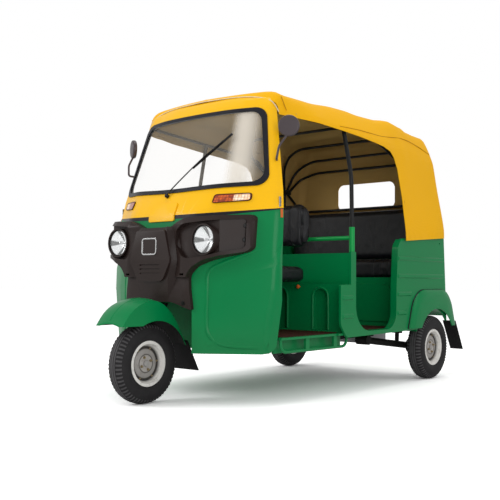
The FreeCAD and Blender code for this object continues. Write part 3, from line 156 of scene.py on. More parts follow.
class Shader:
    """One procedural material while it is wired."""

    def __init__(self, name: str) -> None:
        """Start the material with one Principled surface.

        Args:
            name: the finish's name.
        """
        self.material = bpy.data.materials.new(name + "_finish")
        self.material.use_nodes = True
        self.tree = self.material.node_tree
        self.tree.nodes.clear()
        self.surface = self.tree.nodes.new("ShaderNodeBsdfPrincipled")
        self.output = self.tree.nodes.new("ShaderNodeOutputMaterial")
        self.tree.links.new(self.surface.outputs[0], self.output.inputs[0])

    def node(self, kind: str, settings: dict | None = None, values: dict | None = None,
             output: int | str = 0) -> Wave:
        """Any node.

        Args:
            kind: the node's type.
            settings: its options, set first; "stops" gives a ramp's places and colours.
            values: the number, colour or link of each named or numbered socket.
            output: which output is returned.

        Returns:
            That output.
        """
        made = self.tree.nodes.new(kind)
        for name, value in (settings or {}).items():
            if name == "stops":
                self.fill_ramp(made.color_ramp, value)
            else:
                setattr(made, name, value)
        for name, value in (values or {}).items():
            self.plug(made.inputs[name], value)
        return Wave(self, made.outputs[output])

    @staticmethod
    def fill_ramp(ramp: bpy.types.ColorRamp, stops: Sequence[tuple[float, Colour]]) -> None:
        """Give a ramp its places and colours, the first at 0 and the last at 1.

        Args:
            ramp: the ramp.
            stops: its places and colours, in order.
        """
        ramp.elements[0].color = stops[0][1]
        ramp.elements[-1].color = stops[-1][1]
        for place, colour in stops[1:-1]:
            ramp.elements.new(place).color = colour

    def plug(self, socket: bpy.types.NodeSocket, value: object) -> None:
        """Link a wave, or set a plain value.

        Args:
            socket: the socket.
            value: what it is given.
        """
        if isinstance(value, Wave):
            self.tree.links.new(value.socket, socket)
        else:
            socket.default_value = value

    def put(self, **values: object) -> None:
        """Set the surface's sockets; an underscore in a name stands for a space."""
        for name, value in values.items():
            self.plug(self.surface.inputs[name.replace("_", " ")], value)

    def place(self) -> Wave:
        """The point of the surface in the object's frame, in metres."""
        return self.node("ShaderNodeTexCoord", None, None, "Object")

    def along(self, axis: str) -> Wave:
        """One coordinate of the point of the surface."""
        return self.node("ShaderNodeSeparateXYZ", None, {0: self.place()}, axis)

    def grain(self, scale: float, detail: float = 3.0, stretch: Point = (1, 1, 1)) -> Wave:
        """Soft noise from 0 to 1, a number of cells to the metre."""
        spot = self.node("ShaderNodeMapping", None, {0: self.place(), 3: stretch})
        return self.node("ShaderNodeTexNoise", None, {"Vector": spot, "Scale": scale, "Detail": detail})

    def blend(self, share: "float | Wave", first: "Colour | Wave", second: "Colour | Wave") -> Wave:
        """The first colour where share is 0 and the second where it is 1."""
        return self.node("ShaderNodeMix", {"data_type": "RGBA"}, {0: share, 6: first, 7: second}, 2)

    def relief(self, height: Wave, depth: float, strength: float) -> Wave:
        """A bump of the surface, depth in metres."""
        return self.node("ShaderNodeBump", None,
                         {"Strength": strength, "Distance": depth, "Height": height})


def scaled(colour: Colour, share: float) -> Colour:
    """The colour made darker or lighter."""
    return (colour[0] * share, colour[1] * share, colour[2] * share, 1.0)


# Finishes


@dataclass(frozen=True)
class Coat:
    """What every finish has: a name, and a way to wire its material."""

    name: str

    def wire(self, made: Shader) -> None:
        """Give the material its colour, gloss and grain; each finish has its own way.

        Args:
            made: the shader that is wired.
        """

    def build(self) -> bpy.types.Material:
        """Wire the material.

        Returns:
            The material.
        """
        made = Shader(self.name)
        self.wire(made)
        return made.material


@dataclass(frozen=True)
class Enamel(Coat):
    """Gloss paint on pressed steel, with faint ripple, and road dust near the ground."""

    colour: Colour
    roughness: float = 0.26
    dust_top: float = 0.5

    def wire(self, made: Shader) -> None:
        """Wire the material.

        Args:
            made: the shader that is wired.
        """
        cloud = made.grain(2.5, 4)
        speck = made.grain(60, 5)
        height = made.along("Z")
        dust = height.step(self.dust_top, 0.18) * (speck * 0.5 + 0.35) * 0.12
        tone = made.blend(cloud, scaled(self.colour, 0.93), scaled(self.colour, 1.06))
        made.put(Base_Color=made.blend(dust, tone, srgb(0.42, 0.38, 0.33)),
                 Roughness=cloud * 0.06 + dust * 0.5 + self.roughness,
                 Normal=made.relief(made.grain(380, 2), 0.0004, 0.12),
                 Specular_IOR_Level=0.16, Coat_Weight=0.05, Coat_Roughness=0.06)


@dataclass(frozen=True)
class RimPaint(Coat):
    """Silver paint on a pressed wheel: a dull disc, a bright bead, and painted shadow in the dark rings
    between them.
    """

    centre: Point
    span: float = 0.125

    def wire(self, made: Shader) -> None:
        """Wire the material.

        Args:
            made: the shader that is wired.
        """
        ahead = made.along("Y") - self.centre[1]
        up = made.along("Z") - self.centre[2]
        reach = (ahead * ahead + up * up).maths("SQRT") / self.span
        disc, dark, ring = srgb(0.60, 0.585, 0.57), srgb(0.20, 0.19, 0.18), srgb(0.90, 0.89, 0.87)
        # the dark and near-black stops are painted shadow in the gaps round the disc and inside the bead
        bands = made.node("ShaderNodeValToRGB", {"stops": (
            (0.0, disc), (0.33, srgb(0.68, 0.66, 0.64)), (0.37, dark), (0.41, disc), (0.58, disc),
            (0.62, dark), (0.70, srgb(0.10, 0.095, 0.09)), (0.76, ring), (1.0, ring))}, {0: reach})
        cloud = made.grain(46, 5)
        made.put(Base_Color=made.blend(cloud.step(0.45, 0.8) * 0.35, bands, srgb(0.38, 0.34, 0.30)),
                 Roughness=cloud * 0.15 + 0.30, Normal=made.relief(made.grain(500, 2), 0.0003, 0.2),
                 Specular_IOR_Level=0.4)


@dataclass(frozen=True)
class Moulding(Coat):
    """Fine-grained plastic."""

    colour: Colour
    roughness: float = 0.42
    grain_scale: float = 1400.0

    def wire(self, made: Shader) -> None:
        """Wire the material.

        Args:
            made: the shader that is wired.
        """
        cloud = made.grain(7, 4)
        made.put(Base_Color=made.blend(cloud, scaled(self.colour, 0.85), scaled(self.colour, 1.15)),
                 Roughness=cloud * 0.12 + (self.roughness - 0.06),
                 Normal=made.relief(made.grain(self.grain_scale, 2), 0.0003, 0.35),
                 Specular_IOR_Level=0.22)


@dataclass(frozen=True)
class Rubber(Coat):
    """Matt black rubber with a little bloom."""

    colour: Colour
    roughness: float = 0.62

    def wire(self, made: Shader) -> None:
        """Wire the material.

        Args:
            made: the shader that is wired.
        """
        bloom = made.grain(24, 5)
        made.put(Base_Color=made.blend(bloom * bloom, self.colour, scaled(self.colour, 1.9)),
                 Roughness=bloom * 0.14 + (self.roughness - 0.07),
                 Normal=made.relief(made.grain(900, 3), 0.0004, 0.3), Specular_IOR_Level=0.22)


@dataclass(frozen=True)
class Canvas(Coat):
    """Coated cloth: a fine weave, soft creases and a dull sheen."""

    colour: Colour
    pitch: float = 0.0022
    roughness: float = 0.55
    creases: float = 0.35

    def wire(self, made: Shader) -> None:
        """Wire the material.

        Args:
            made: the shader that is wired.
        """
        scale = 2 * math.pi / (20 * self.pitch)
        place = made.place()
        threads = [made.node("ShaderNodeTexWave", {"bands_direction": axis},
                             {"Vector": place, "Scale": scale, "Distortion": 0.6, "Detail": 1.0}, 1)
                   for axis in ("X", "Y", "Z")]
        weave = (threads[0] + threads[1] + threads[2]) * 0.33
        crease = made.grain(5, 5, (1.0, 0.55, 1.4))
        cloud = made.grain(1.7, 3)
        tone = made.blend(cloud, scaled(self.colour, 0.92), scaled(self.colour, 1.05))
        tone = made.blend(weave * 0.16, tone, scaled(self.colour, 0.7))
        fold = made.relief(crease, 0.012, self.creases)
        bump = made.node("ShaderNodeBump", None,
                         {"Strength": 0.28, "Distance": 0.0006, "Height": weave, "Normal": fold})
        made.put(Base_Color=tone, Roughness=weave * 0.12 + self.roughness, Normal=bump,
                 Specular_IOR_Level=0.15)


@dataclass(frozen=True)
class Leathercloth(Coat):
    """Black grained leathercloth on padding."""

    colour: Colour
    cell: float = 420.0
    roughness: float = 0.36

    def wire(self, made: Shader) -> None:
        """Wire the material.

        Args:
            made: the shader that is wired.
        """
        cells = made.node("ShaderNodeTexVoronoi", {"feature": "DISTANCE_TO_EDGE"},
                          {"Vector": made.place(), "Scale": self.cell})
        wear = made.grain(6, 5)
        tone = made.blend(wear, scaled(self.colour, 0.8), scaled(self.colour, 1.35))
        made.put(Base_Color=tone, Roughness=wear * 0.16 + (self.roughness - 0.08),
                 Normal=made.relief(cells.step(0.0, 0.16), 0.0005, 0.4), Specular_IOR_Level=0.3)


@dataclass(frozen=True)
class Metal(Coat):
    """Bare or plated metal."""

    colour: Colour
    roughness: float = 0.3
    casting: float = 0.0

    def wire(self, made: Shader) -> None:
        """Wire the material.

        Args:
            made: the shader that is wired.
        """
        cloud = made.grain(30, 5)
        made.put(Base_Color=made.blend(cloud, scaled(self.colour, 0.85), self.colour),
                 Metallic=1.0, Roughness=cloud * 0.16 + self.roughness,
                 Normal=made.relief(made.grain(500, 3), 0.0005, 0.08 + self.casting))


@dataclass(frozen=True)
class Glazing(Coat):
    """Clear glass with a painted reflection of the sky over it, and a brighter painted glare stripe."""

    colour: Colour
    painted_sky_veil: float = 0.2
    painted_glare: float = NOWHERE
    roughness: float = 0.03
    # where the painted glare starts, is full, begins to fade and ends, from its place
    painted_glare_edges: tuple = (-0.085, -0.01, 0.0, 0.10)
    lean: float = 0.10

    def wire(self, made: Shader) -> None:
        """Wire the material.

        Args:
            made: the shader that is wired.
        """
        smear = made.grain(3, 3, (1.0, 1.0, 0.3))
        across = made.along("X") + made.along("Z") * self.lean
        start, full, fade, end = (self.painted_glare + offset for offset in self.painted_glare_edges)
        painted_glare_stripe = across.step(start, full) * across.step(end, fade)
        # painted reflection: the alpha of the pale colour stands for the sky's reflection, and the glare
        # stripe for a brighter one
        made.put(Base_Color=self.colour, Roughness=smear * 0.04 + self.roughness,
                 Alpha=smear * 0.06 + painted_glare_stripe * 0.55 + (self.painted_sky_veil - 0.03), Specular_IOR_Level=0.3)
        made.material.surface_render_method = "BLENDED"


@dataclass(frozen=True)
class Bowl(Coat):
    """A headlamp's bright bowl, with four dark wedges that meet at the bulb, and a painted glow on its
    bright parts.
    """

    centre: Point

    def wire(self, made: Shader) -> None:
        """Wire the material.

        Args:
            made: the shader that is wired.
        """
        across = made.along("X") - self.centre[0]
        up = made.along("Z") - self.centre[2]
        angle = up.maths("ARCTAN2", across)
        lobes = (angle * 4).maths("COSINE")
        reach = (across * across + up * up).maths("SQRT")
        wedge = lobes.step(0.35, 0.8) * reach.step(0.004, 0.016)
        flute = (angle * 44).maths("SINE") * 0.5 + 0.5
        bright = made.blend(flute, srgb(0.80, 0.82, 0.83), srgb(0.98, 0.98, 0.98))
        made.put(Base_Color=made.blend(wedge, bright, srgb(0.16, 0.15, 0.14)),
                 Metallic=0.85, Roughness=0.16,
                 Normal=made.relief(flute, 0.0006, 0.4),
                 # painted glow: the bowl's bright parts emit light though the lamp is off
                 Emission_Color=made.blend(wedge, srgb(0.8, 0.8, 0.8), srgb(0, 0, 0)),
                 Emission_Strength=0.5)


@dataclass(frozen=True)
class CellLens(Coat):
    """A coloured lamp lens with moulded cells and a paler window at one end, both glowing faintly with
    painted light.
    """

    dark: Colour
    bright: Colour
    cell: float = 0.014
    window: float = NOWHERE

    def wire(self, made: Shader) -> None:
        """Wire the material.

        Args:
            made: the shader that is wired.
        """
        side = made.along("X").size()
        across = (side / self.cell).maths("FRACT") - 0.5
        up = (made.along("Z") / self.cell).maths("FRACT") - 0.5
        edge = across.size().maths("MAXIMUM", up.size())
        cell = edge.step(0.30, 0.48)
        cloud = made.grain(38, 3).step(0.42, 0.62)
        window_and_glow = side.step(self.window - 0.004, self.window + 0.004)
        pale = made.blend(cloud, srgb(1.0, 0.93, 0.84), srgb(0.98, 0.72, 0.50))
        tone = made.blend(window_and_glow, made.blend(cloud, self.dark, self.bright), pale)
        made.put(Base_Color=made.blend(cell * 0.7, tone, scaled(self.dark, 0.6)), Roughness=0.16,
                 Normal=made.relief(cell, 0.001, 0.5), Coat_Weight=0.5,
                 # painted glow: the lens emits a little light and the window more, though the lamp is
                 # off
                 Emission_Color=made.blend(window_and_glow, scaled(self.bright, 0.15), srgb(0.9, 0.75, 0.6)),
                 Emission_Strength=0.3)


class Finish(Enum):
    """Every finish on the vehicle."""

    GREEN = Enamel("green_paint", srgb(0.0, 0.485, 0.265))
    # a lighter green than the body's, standing in for the highlights along the round rail: painted
    # highlight
    HIGHLIT_GREEN = Enamel("rail_painted_highlight_green", srgb(0.08, 0.60, 0.29))
    YELLOW = Enamel("yellow_paint", srgb(1.0, 0.760, 0.0), 0.24, 0.1)
    DARK = Moulding("dark_moulding", srgb(0.16, 0.12, 0.11), 0.38)
    MIRROR = Moulding("mirror_plastic", srgb(0.30, 0.27, 0.28), 0.32)
    SATIN = Moulding("satin_plastic", srgb(0.09, 0.085, 0.085), 0.3, 600.0)
    RUBBER = Rubber("black_rubber", srgb(0.075, 0.07, 0.075))
    SEAL = Rubber("seal_rubber", srgb(0.10, 0.10, 0.125), 0.34)
    TYRE = Rubber("tyre_rubber", srgb(0.13, 0.125, 0.13), 0.66)
    TREAD = Rubber("worn_tread_rubber", srgb(0.27, 0.265, 0.27), 0.72)
    GLASS = Glazing("screen_glass", srgb(0.93, 0.90, 0.85), 0.07, 0.50)
    CLEAR = Glazing("lamp_glass", srgb(0.97, 0.98, 0.98), 0.12)
    AMBER = CellLens("amber_lens", srgb(0.56, 0.19, 0.04), srgb(0.84, 0.36, 0.06), 0.014, 0.400)
    LAMP_FRAME = Moulding("lamp_frame", srgb(0.30, 0.11, 0.06), 0.3)
    RED = CellLens("red_lens", srgb(0.45, 0.02, 0.02), srgb(0.85, 0.06, 0.04))
    CANVAS = Canvas("yellow_canvas", srgb(0.965, 0.715, 0.0))
    LINING = Canvas("brown_lining", srgb(0.74, 0.61, 0.37), 0.0022, 0.75, 0.2)
    PIPING = Rubber("white_piping", srgb(0.80, 0.74, 0.60), 0.5)
    STITCH = Rubber("seam_thread", srgb(0.62, 0.43, 0.03), 0.7)
    MAT = Rubber("floor_mat", srgb(0.22, 0.085, 0.06), 0.7)
    SEAT = Leathercloth("seat_cloth", srgb(0.085, 0.088, 0.102))
    BLACK = Moulding("black_paint", srgb(0.075, 0.08, 0.085), 0.34, 500.0)
    UNDER = Moulding("underside_paint", srgb(0.09, 0.085, 0.08), 0.6, 300.0)
    WHEEL = Moulding("hub_paint", srgb(0.62, 0.61, 0.60), 0.34, 500.0)
    ALLOY = Metal("cast_alloy", srgb(0.62, 0.62, 0.63), 0.42, 0.3)
    CHROME = Metal("chrome_plate", srgb(0.90, 0.90, 0.90), 0.12)
    ZINC = Metal("zinc_plate", srgb(0.68, 0.62, 0.50), 0.34)
    KNOB = Moulding("orange_knob", srgb(0.80, 0.38, 0.16), 0.3)

    @property
    def material(self) -> bpy.types.Material:
        """The finish as a material, wired the first time it is asked for."""
        return bpy.data.materials.get(self.value.name + "_finish") or self.value.build()


# Forms


def linked(name: str, data: bpy.types.ID) -> bpy.types.Object:
    """A new object in the scene.

    Args:
        name: its name.
        data: its mesh, curve, lamp or camera.

    Returns:
        The object.
    """
    item = bpy.data.objects.new(name, data)
    bpy.context.scene.collection.objects.link(item)
    return item


class Form:
    """A mesh under construction, in metres in the object's frame."""

    def __init__(self) -> None:
        """Start with nothing."""
        self.mesh = bmesh.new()

    @classmethod
    def of_node(cls, node: str, flat: float = 0.5) -> "Form":
        """A copy of a frame piece with its corners joined and its flat faces whole.

        Args:
            node: the frame piece.
            flat: faces within this many degrees become one.

        Returns:
            The copy.
        """
        form = cls()
        form.mesh.from_mesh(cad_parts[node].data)
        for face in form.mesh.faces:
            face.material_index = 0
        bmesh.ops.remove_doubles(form.mesh, verts=form.mesh.verts, dist=2e-5)
        if flat:
            bmesh.ops.dissolve_limit(form.mesh, angle_limit=math.radians(flat),
                                     verts=form.mesh.verts, edges=form.mesh.edges)
        return form

    def cube(self, low: Point, high: Point) -> "Form":
        """Add a box between two corners.

        Args:
            low: its lowest corner.
            high: its highest corner.

        Returns:
            The form.
        """
        size = Vector(high) - Vector(low)
        centre = (Vector(high) + Vector(low)) / 2
        bmesh.ops.create_cube(self.mesh, size=1.0,
                              matrix=Matrix.Translation(centre) @ Matrix.Diagonal((*size, 1.0)))
        return self

    def lathe(self, profile: Sequence[tuple[float, float]], centre: Point, axis: Point,
              steps: int) -> "Form":
        """Spin a profile.

        Args:
            profile: places along the axis and distances from it.
            centre: where the axis starts.
            axis: its direction.
            steps: how many parts the turn has.

        Returns:
            The form.
        """
        line = Vector(axis).normalized()
        out = line.orthogonal().normalized()
        spots = [self.mesh.verts.new(Vector(centre) + line * place + out * reach)
                 for place, reach in profile]
        edges = [self.mesh.edges.new(pair) for pair in zip(spots, spots[1:])]
        bmesh.ops.spin(self.mesh, geom=spots + edges, cent=centre, axis=line,
                       angle=math.tau, steps=steps, use_merge=True)
        bmesh.ops.remove_doubles(self.mesh, verts=self.mesh.verts, dist=1e-5)
        bmesh.ops.recalc_face_normals(self.mesh, faces=self.mesh.faces)
        return self

    def rod(self, start: Point, end: Point, radius: float, sides: int) -> "Form":
        """Add a closed round bar between two points.

        Args:
            start: the middle of one end.
            end: the middle of the other.
            radius: half its thickness.
            sides: how many flats it has.

        Returns:
            The form.
        """
        line = Vector(end) - Vector(start)
        turn = line.to_track_quat("Z", "Y").to_matrix().to_4x4()
        middle = (Vector(start) + Vector(end)) / 2
        bmesh.ops.create_cone(self.mesh, cap_ends=True, segments=sides, radius1=radius,
                              radius2=radius, depth=line.length,
                              matrix=Matrix.Translation(middle) @ turn)
        return self

    def bar(self, start: Point, end: Point, width: float, height: float, up: Point) -> "Form":
        """Add a flat bar between two points.

        Args:
            start: the middle of one end.
            end: the middle of the other.
            width: its size across.
            height: its size along up.
            up: the way its flat side faces.

        Returns:
            The form.
        """
        line = Vector(end) - Vector(start)
        across = line.cross(Vector(up)).normalized()
        rise = across.cross(line).normalized()
        turn = Matrix((across, line.normalized(), rise)).transposed().to_4x4()
        middle = (Vector(start) + Vector(end)) / 2
        size = Matrix.Diagonal((width, line.length, height, 1.0))
        bmesh.ops.create_cube(self.mesh, size=1.0, matrix=Matrix.Translation(middle) @ turn @ size)
        return self

    def bevel(self, width: float, segments: int) -> "Form":
        """Round every sharp edge.

        Args:
            width: how far the rounding reaches.
            segments: how many parts it has.

        Returns:
            The form.
        """
        edges = [edge for edge in self.mesh.edges
                 if len(edge.link_faces) == 2 and edge.calc_face_angle() > SHARP]
        bmesh.ops.bevel(self.mesh, geom=edges, offset=width, segments=segments, profile=0.5,
                        affect="EDGES", material=-1, clamp_overlap=True)
        return self

    def cut(self, point: Point, normal: Point, clear: bool = False,
            keep: Callable[[bmesh.types.BMFace], bool] | None = None) -> "Form":
        """Draw a plane's line over the faces, or take away what lies beyond it.

        Args:
            point: a point of the plane.
            normal: its direction.
            clear: whether the side that normal points to goes.
            keep: which faces are touched, or all of them.

        Returns:
            The form.
        """
        faces = [face for face in self.mesh.faces if keep is None or keep(face)]
        edges = dict.fromkeys(edge for face in faces for edge in face.edges)
        spots = dict.fromkeys(vert for face in faces for vert in face.verts)
        bmesh.ops.bisect_plane(self.mesh, geom=[*faces, *edges, *spots], dist=1e-5,
                               plane_co=point, plane_no=normal, clear_outer=clear)
        return self

    def shift(self, offset: Point) -> "Form":
        """Move the whole form."""
        bmesh.ops.translate(self.mesh, verts=self.mesh.verts, vec=offset)
        return self

    def join(self, other: "Form") -> "Form":
        """Add another form, which is used up.

        Args:
            other: the form to add.

        Returns:
            The form.
        """
        data = bpy.data.meshes.new("joined")
        other.mesh.to_mesh(data)
        other.mesh.free()
        self.mesh.from_mesh(data)
        bpy.data.meshes.remove(data)
        return self

    def close(self) -> "Form":
        """Fill the open edges.

        Returns:
            The form.
        """
        edges = [edge for edge in self.mesh.edges if edge.is_boundary]
        bmesh.ops.holes_fill(self.mesh, edges=edges)
        return self

    def swell(self, proud: float) -> "Form":
        """Move the surface outwards.

        Args:
            proud: how far the surface moves.

        Returns:
            The form.
        """
        for vert in self.mesh.verts:
            vert.co += vert.normal * proud
        return self

    def round_along(self, axis: int, radius: float, segments: int) -> "Form":
        """Round the edges that run along one axis.

        Args:
            axis: the axis, 0 to 2.
            radius: how far the rounding reaches.
            segments: how many parts it has.

        Returns:
            The form.
        """
        edges = [edge for edge in self.mesh.edges
                 if abs((edge.verts[0].co - edge.verts[1].co).normalized()[axis]) > 0.99]
        bmesh.ops.bevel(self.mesh, geom=edges, offset=radius, segments=segments, profile=0.5,
                        affect="EDGES", material=-1)
        return self

    def piece(self, name: str, finish: Finish, body: str, slot: str,
              stands_for: Sequence[str] = (), crease: float = 32.0) -> bpy.types.Object:
        """Finish the form as a named piece that rides on a body.

        Args:
            name: the piece's name.
            finish: what it is made of.
            body: what it rides on.
            slot: the record's material slot; not used.
            stands_for: the frame pieces that it replaces.
            crease: edges that turn by more degrees stay sharp.

        Returns:
            The object.
        """
        for edge in self.mesh.edges:
            edge.smooth = len(edge.link_faces) == 2 and edge.calc_face_angle() < math.radians(crease)
        for face in self.mesh.faces:
            face.smooth = True
        data = bpy.data.meshes.new(name)
        self.mesh.to_mesh(data)
        self.mesh.free()
        data.materials.append(finish.material)
        item = linked(name, data)
        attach(item, body)
        if stands_for:
            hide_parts(*stands_for)
        log.info("%s: %d faces", name, len(data.polygons))
        return item


def on_skin(node: str, start: Point, ahead: Point) -> tuple[Vector | None, Vector | None]:
    """Where a line from a point meets a frame piece, and the way that the surface faces there.

    Args:
        node: the frame piece.
        start: the point.
        ahead: the line's direction.

    Returns:
        The point and the direction, or None for each where the line misses.
    """
    form = Form.of_node(node, 0.0)
    spot, normal, _, _ = BVHTree.FromBMesh(form.mesh).ray_cast(Vector(start), Vector(ahead))
    form.mesh.free()
    return spot, normal


def soft_edges(item: bpy.types.Object, width: float) -> bpy.types.Object:
    """Give a piece small rounded edges that catch the light.

    Args:
        item: the piece.
        width: how wide the rounded edges are.

    Returns:
        The piece.
    """
    made = item.modifiers.new("edges", "BEVEL")
    made.width = width
    made.segments = 2
    made.limit_method = "ANGLE"
    made.angle_limit = SHARP
    made.harden_normals = True
    return item


def dressed(node: str, finish: Finish, body: str, slot: str, edge: float = 0.0012,
            flat: float = 0.5) -> bpy.types.Object:
    """A frame piece with joined faces, soft edges and its finish.

    Args:
        node: the frame piece.
        finish: what it is made of.
        body: what it rides on.
        slot: the record's material slot.
        edge: how wide its rounded edges are, or 0 for none.
        flat: faces within this many degrees become one.

    Returns:
        The piece that stands for it.
    """
    item = Form.of_node(node, flat).piece(node + "_finished", finish, body, slot, [node])
    return soft_edges(item, edge) if edge else item


def tube(points: Sequence[Point], radius: float) -> Form:
    """A round tube along a smooth line past a few points.

    Args:
        points: the points that the line follows.
        radius: half the tube's thickness.

    Returns:
        The tube.
    """
    curve = bpy.data.curves.new("line", "CURVE")
    curve.dimensions = "3D"
    curve.bevel_depth = radius
    curve.bevel_resolution = 3
    curve.use_fill_caps = True
    spline = curve.splines.new("NURBS")
    spline.points.add(len(points) - 1)
    for spot, point in zip(spline.points, points):
        spot.co = (*point, 1.0)
    spline.order_u = 3
    spline.use_endpoint_u = True
    spline.resolution_u = 6
    item = linked("line", curve)
    depsgraph = bpy.context.evaluated_depsgraph_get()
    shape = bpy.data.meshes.new_from_object(item.evaluated_get(depsgraph))
    form = Form()
    form.mesh.from_mesh(shape)
    bmesh.ops.remove_doubles(form.mesh, verts=form.mesh.verts, dist=1e-6)
    bpy.data.objects.remove(item)
    bpy.data.curves.remove(curve)
    return form


# Hood


@dataclass
class Hood:
    """The canvas hood: one sheet over the roof, the rear quarters and the back."""

    front: float = -0.637
    rear: float = 1.0735
    base: float = 0.890
    base_rise: float = 0.042
    quarter: float = 0.500
    corner: float = 0.045
    shoulder_round: float = 0.040
    gauge: float = 0.0035
    # how far the front edge stands back at the bow's shoulders, and forward in the middle
    bow_back: float = 0.040
    bow_front: float = 0.013
    bow_half: float = 0.45
    dip: float = 0.005
    crease: float = 0.0014
    columns: int = 96
    rows: int = 92
    back_rows: int = 26
    # the share of the back's rows that its rounded corner takes, and how far in the rest reaches
    corner_share: float = 0.3
    back_reach: float = 0.62
    flank_x: float = 0.42
    flank_top: float = 1.58
    back_depth: float = 0.02
    hem_width: float = 0.022
    hem_step: float = 0.0006
    hem_rise: float = 0.0014
    window_half: float = 0.24
    window_low: float = 1.162
    window_high: float = 1.352
    window_corner: float = 0.05
    window_sides: int = 16
    lap_width: float = 0.014
    lap_slack: float = 0.0005
    piping_foot: float = 1.530
    piping_radius: float = 0.0030
    thread_radius: float = 0.0016
    thread_proud: float = 0.0012
    # place along the vehicle, crown, shoulder and side points, and half width at the foot
    sections: tuple = (
        (-0.637, 1.647, (0.482, 1.608), (0.506, 1.545), 0.540),
        (-0.628, 1.660, (0.492, 1.634), (0.508, 1.538), 0.542),
        (-0.605, 1.669, (0.500, 1.651), (0.511, 1.533), 0.546),
        (-0.500, 1.664, (0.506, 1.643), (0.531, 1.526), 0.562),
        (-0.300, 1.662, (0.509, 1.640), (0.568, 1.516), 0.600),
        (-0.060, 1.674, (0.512, 1.653), (0.583, 1.503), 0.622),
        (0.060, 1.676, (0.513, 1.656), (0.588, 1.494), 0.631),
        (0.200, 1.668, (0.513, 1.648), (0.588, 1.486), 0.635),
        (0.380, 1.671, (0.513, 1.650), (0.586, 1.474), 0.635),
        (0.565, 1.693, (0.511, 1.669), (0.578, 1.462), 0.635),
        (0.700, 1.682, (0.509, 1.656), (0.572, 1.452), 0.635),
        (0.790, 1.658, (0.505, 1.636), (0.570, 1.442), 0.635),
        (0.890, 1.652, (0.500, 1.630), (0.568, 1.434), 0.635),
        (1.015, 1.650, (0.492, 1.629), (0.566, 1.425), 0.635),
        (1.074, 1.643, (0.480, 1.620), (0.558, 1.416), 0.635),
    )
    # the side opening's edge from the header to the tub, as places along and heights
    opening: tuple = ((-0.75, 1.525), (-0.45, 1.514), (-0.22, 1.503), (-0.05, 1.493),
                      (0.16, 1.480), (0.34, 1.464), (0.420, 1.444), (0.462, 1.410), (0.496, 1.342),
                      (0.518, 1.144), (0.521, 0.880))
    # the lower edge of the roof cloth where it laps over the quarters
    lap: tuple = ((-0.127, 1.520), (0.08, 1.531), (0.345, 1.530), (0.48, 1.546), (0.60, 1.559),
                  (0.72, 1.560), (0.89, 1.538), (1.02, 1.505))

    def lead(self, x: float, y: float) -> float:
        """How far the front edge bows forward in the middle and back at the sides."""
        near = smooth_step(self.front + 0.10, self.front, y)
        return near * (self.bow_back * (x / self.bow_half) ** 2 - self.bow_front)

    def foot(self, y: float) -> float:
        """The height of the cloth's lower edge, which climbs towards the rear."""
        share = min(1.0, max(0.0, (y - self.quarter) / (self.rear - self.quarter)))
        return self.base + self.base_rise * share

    def section(self, y: float) -> tuple:
        """The crown, shoulder, side and base at a place along the vehicle.

        Args:
            y: the place along the vehicle.

        Returns:
            The crown's height, the shoulder and side points, and the half width.
        """
        rows = self.sections
        y = min(max(y, rows[0][0]), rows[-1][0])
        index = max(1, next(i for i, row in enumerate(rows) if row[0] >= y))
        low, high = rows[index - 1], rows[index]
        share = smooth_step(low[0], high[0], y) * 0.6 + (y - low[0]) / (high[0] - low[0]) * 0.4
        crown = between(low[1], high[1], share)
        shoulder = [between(a, b, share) for a, b in zip(low[2], high[2])]
        side = [between(a, b, share) for a, b in zip(low[3], high[3])]
        return crown, shoulder, side, between(low[4], high[4], share)

    def half_line(self, y: float, count: int) -> list[tuple[float, float]]:
        """Evenly spaced points of the half section from the crown down to the base.

        Args:
            y: the place along the vehicle.
            count: how many points.

        Returns:
            Pairs of distance from the middle and height.
        """
        crown, shoulder, side, wide = self.section(y)
        foot, reach = self.foot(y), self.shoulder_round
        # a few corners from the crown over the shoulder and down the side, then rounded three times
        drop = (shoulder[1] - side[1]) / math.hypot(side[0] - shoulder[0], shoulder[1] - side[1])
        line = [(-0.2, crown - 0.003), (0.0, crown), (shoulder[0] * 0.62, crown - 0.007),
                (shoulder[0] - reach, shoulder[1] + 0.004),
                (shoulder[0] + 0.004, shoulder[1] - reach * 0.7),
                (side[0] - 0.010, side[1] + 0.035 * drop), (side[0], side[1] - 0.012),
                (between(side[0], wide, 0.45), 1.200), (wide, foot + 0.060), (wide, foot)]
        for _ in range(3):
            cut = [line[0]]
            for (ax, az), (bx, bz) in zip(line, line[1:]):
                cut.append((ax * 0.75 + bx * 0.25, az * 0.75 + bz * 0.25))
                cut.append((ax * 0.25 + bx * 0.75, az * 0.25 + bz * 0.75))
            line = cut + [line[-1]]
        line = [(0.0, crown)] + [spot for spot in line if spot[0] > 0.004]
        # the same spacing all along the line
        run = [0.0]
        for (ax, az), (bx, bz) in zip(line, line[1:]):
            run.append(run[-1] + math.hypot(bx - ax, bz - az))
        spots, index = [], 0
        for step in range(count):
            want = run[-1] * step / (count - 1)
            while index < len(line) - 2 and run[index + 1] < want:
                index += 1
            share = (want - run[index]) / (run[index + 1] - run[index])
            spots.append((between(line[index][0], line[index + 1][0], share),
                          between(line[index][1], line[index + 1][1], share)))
        return spots

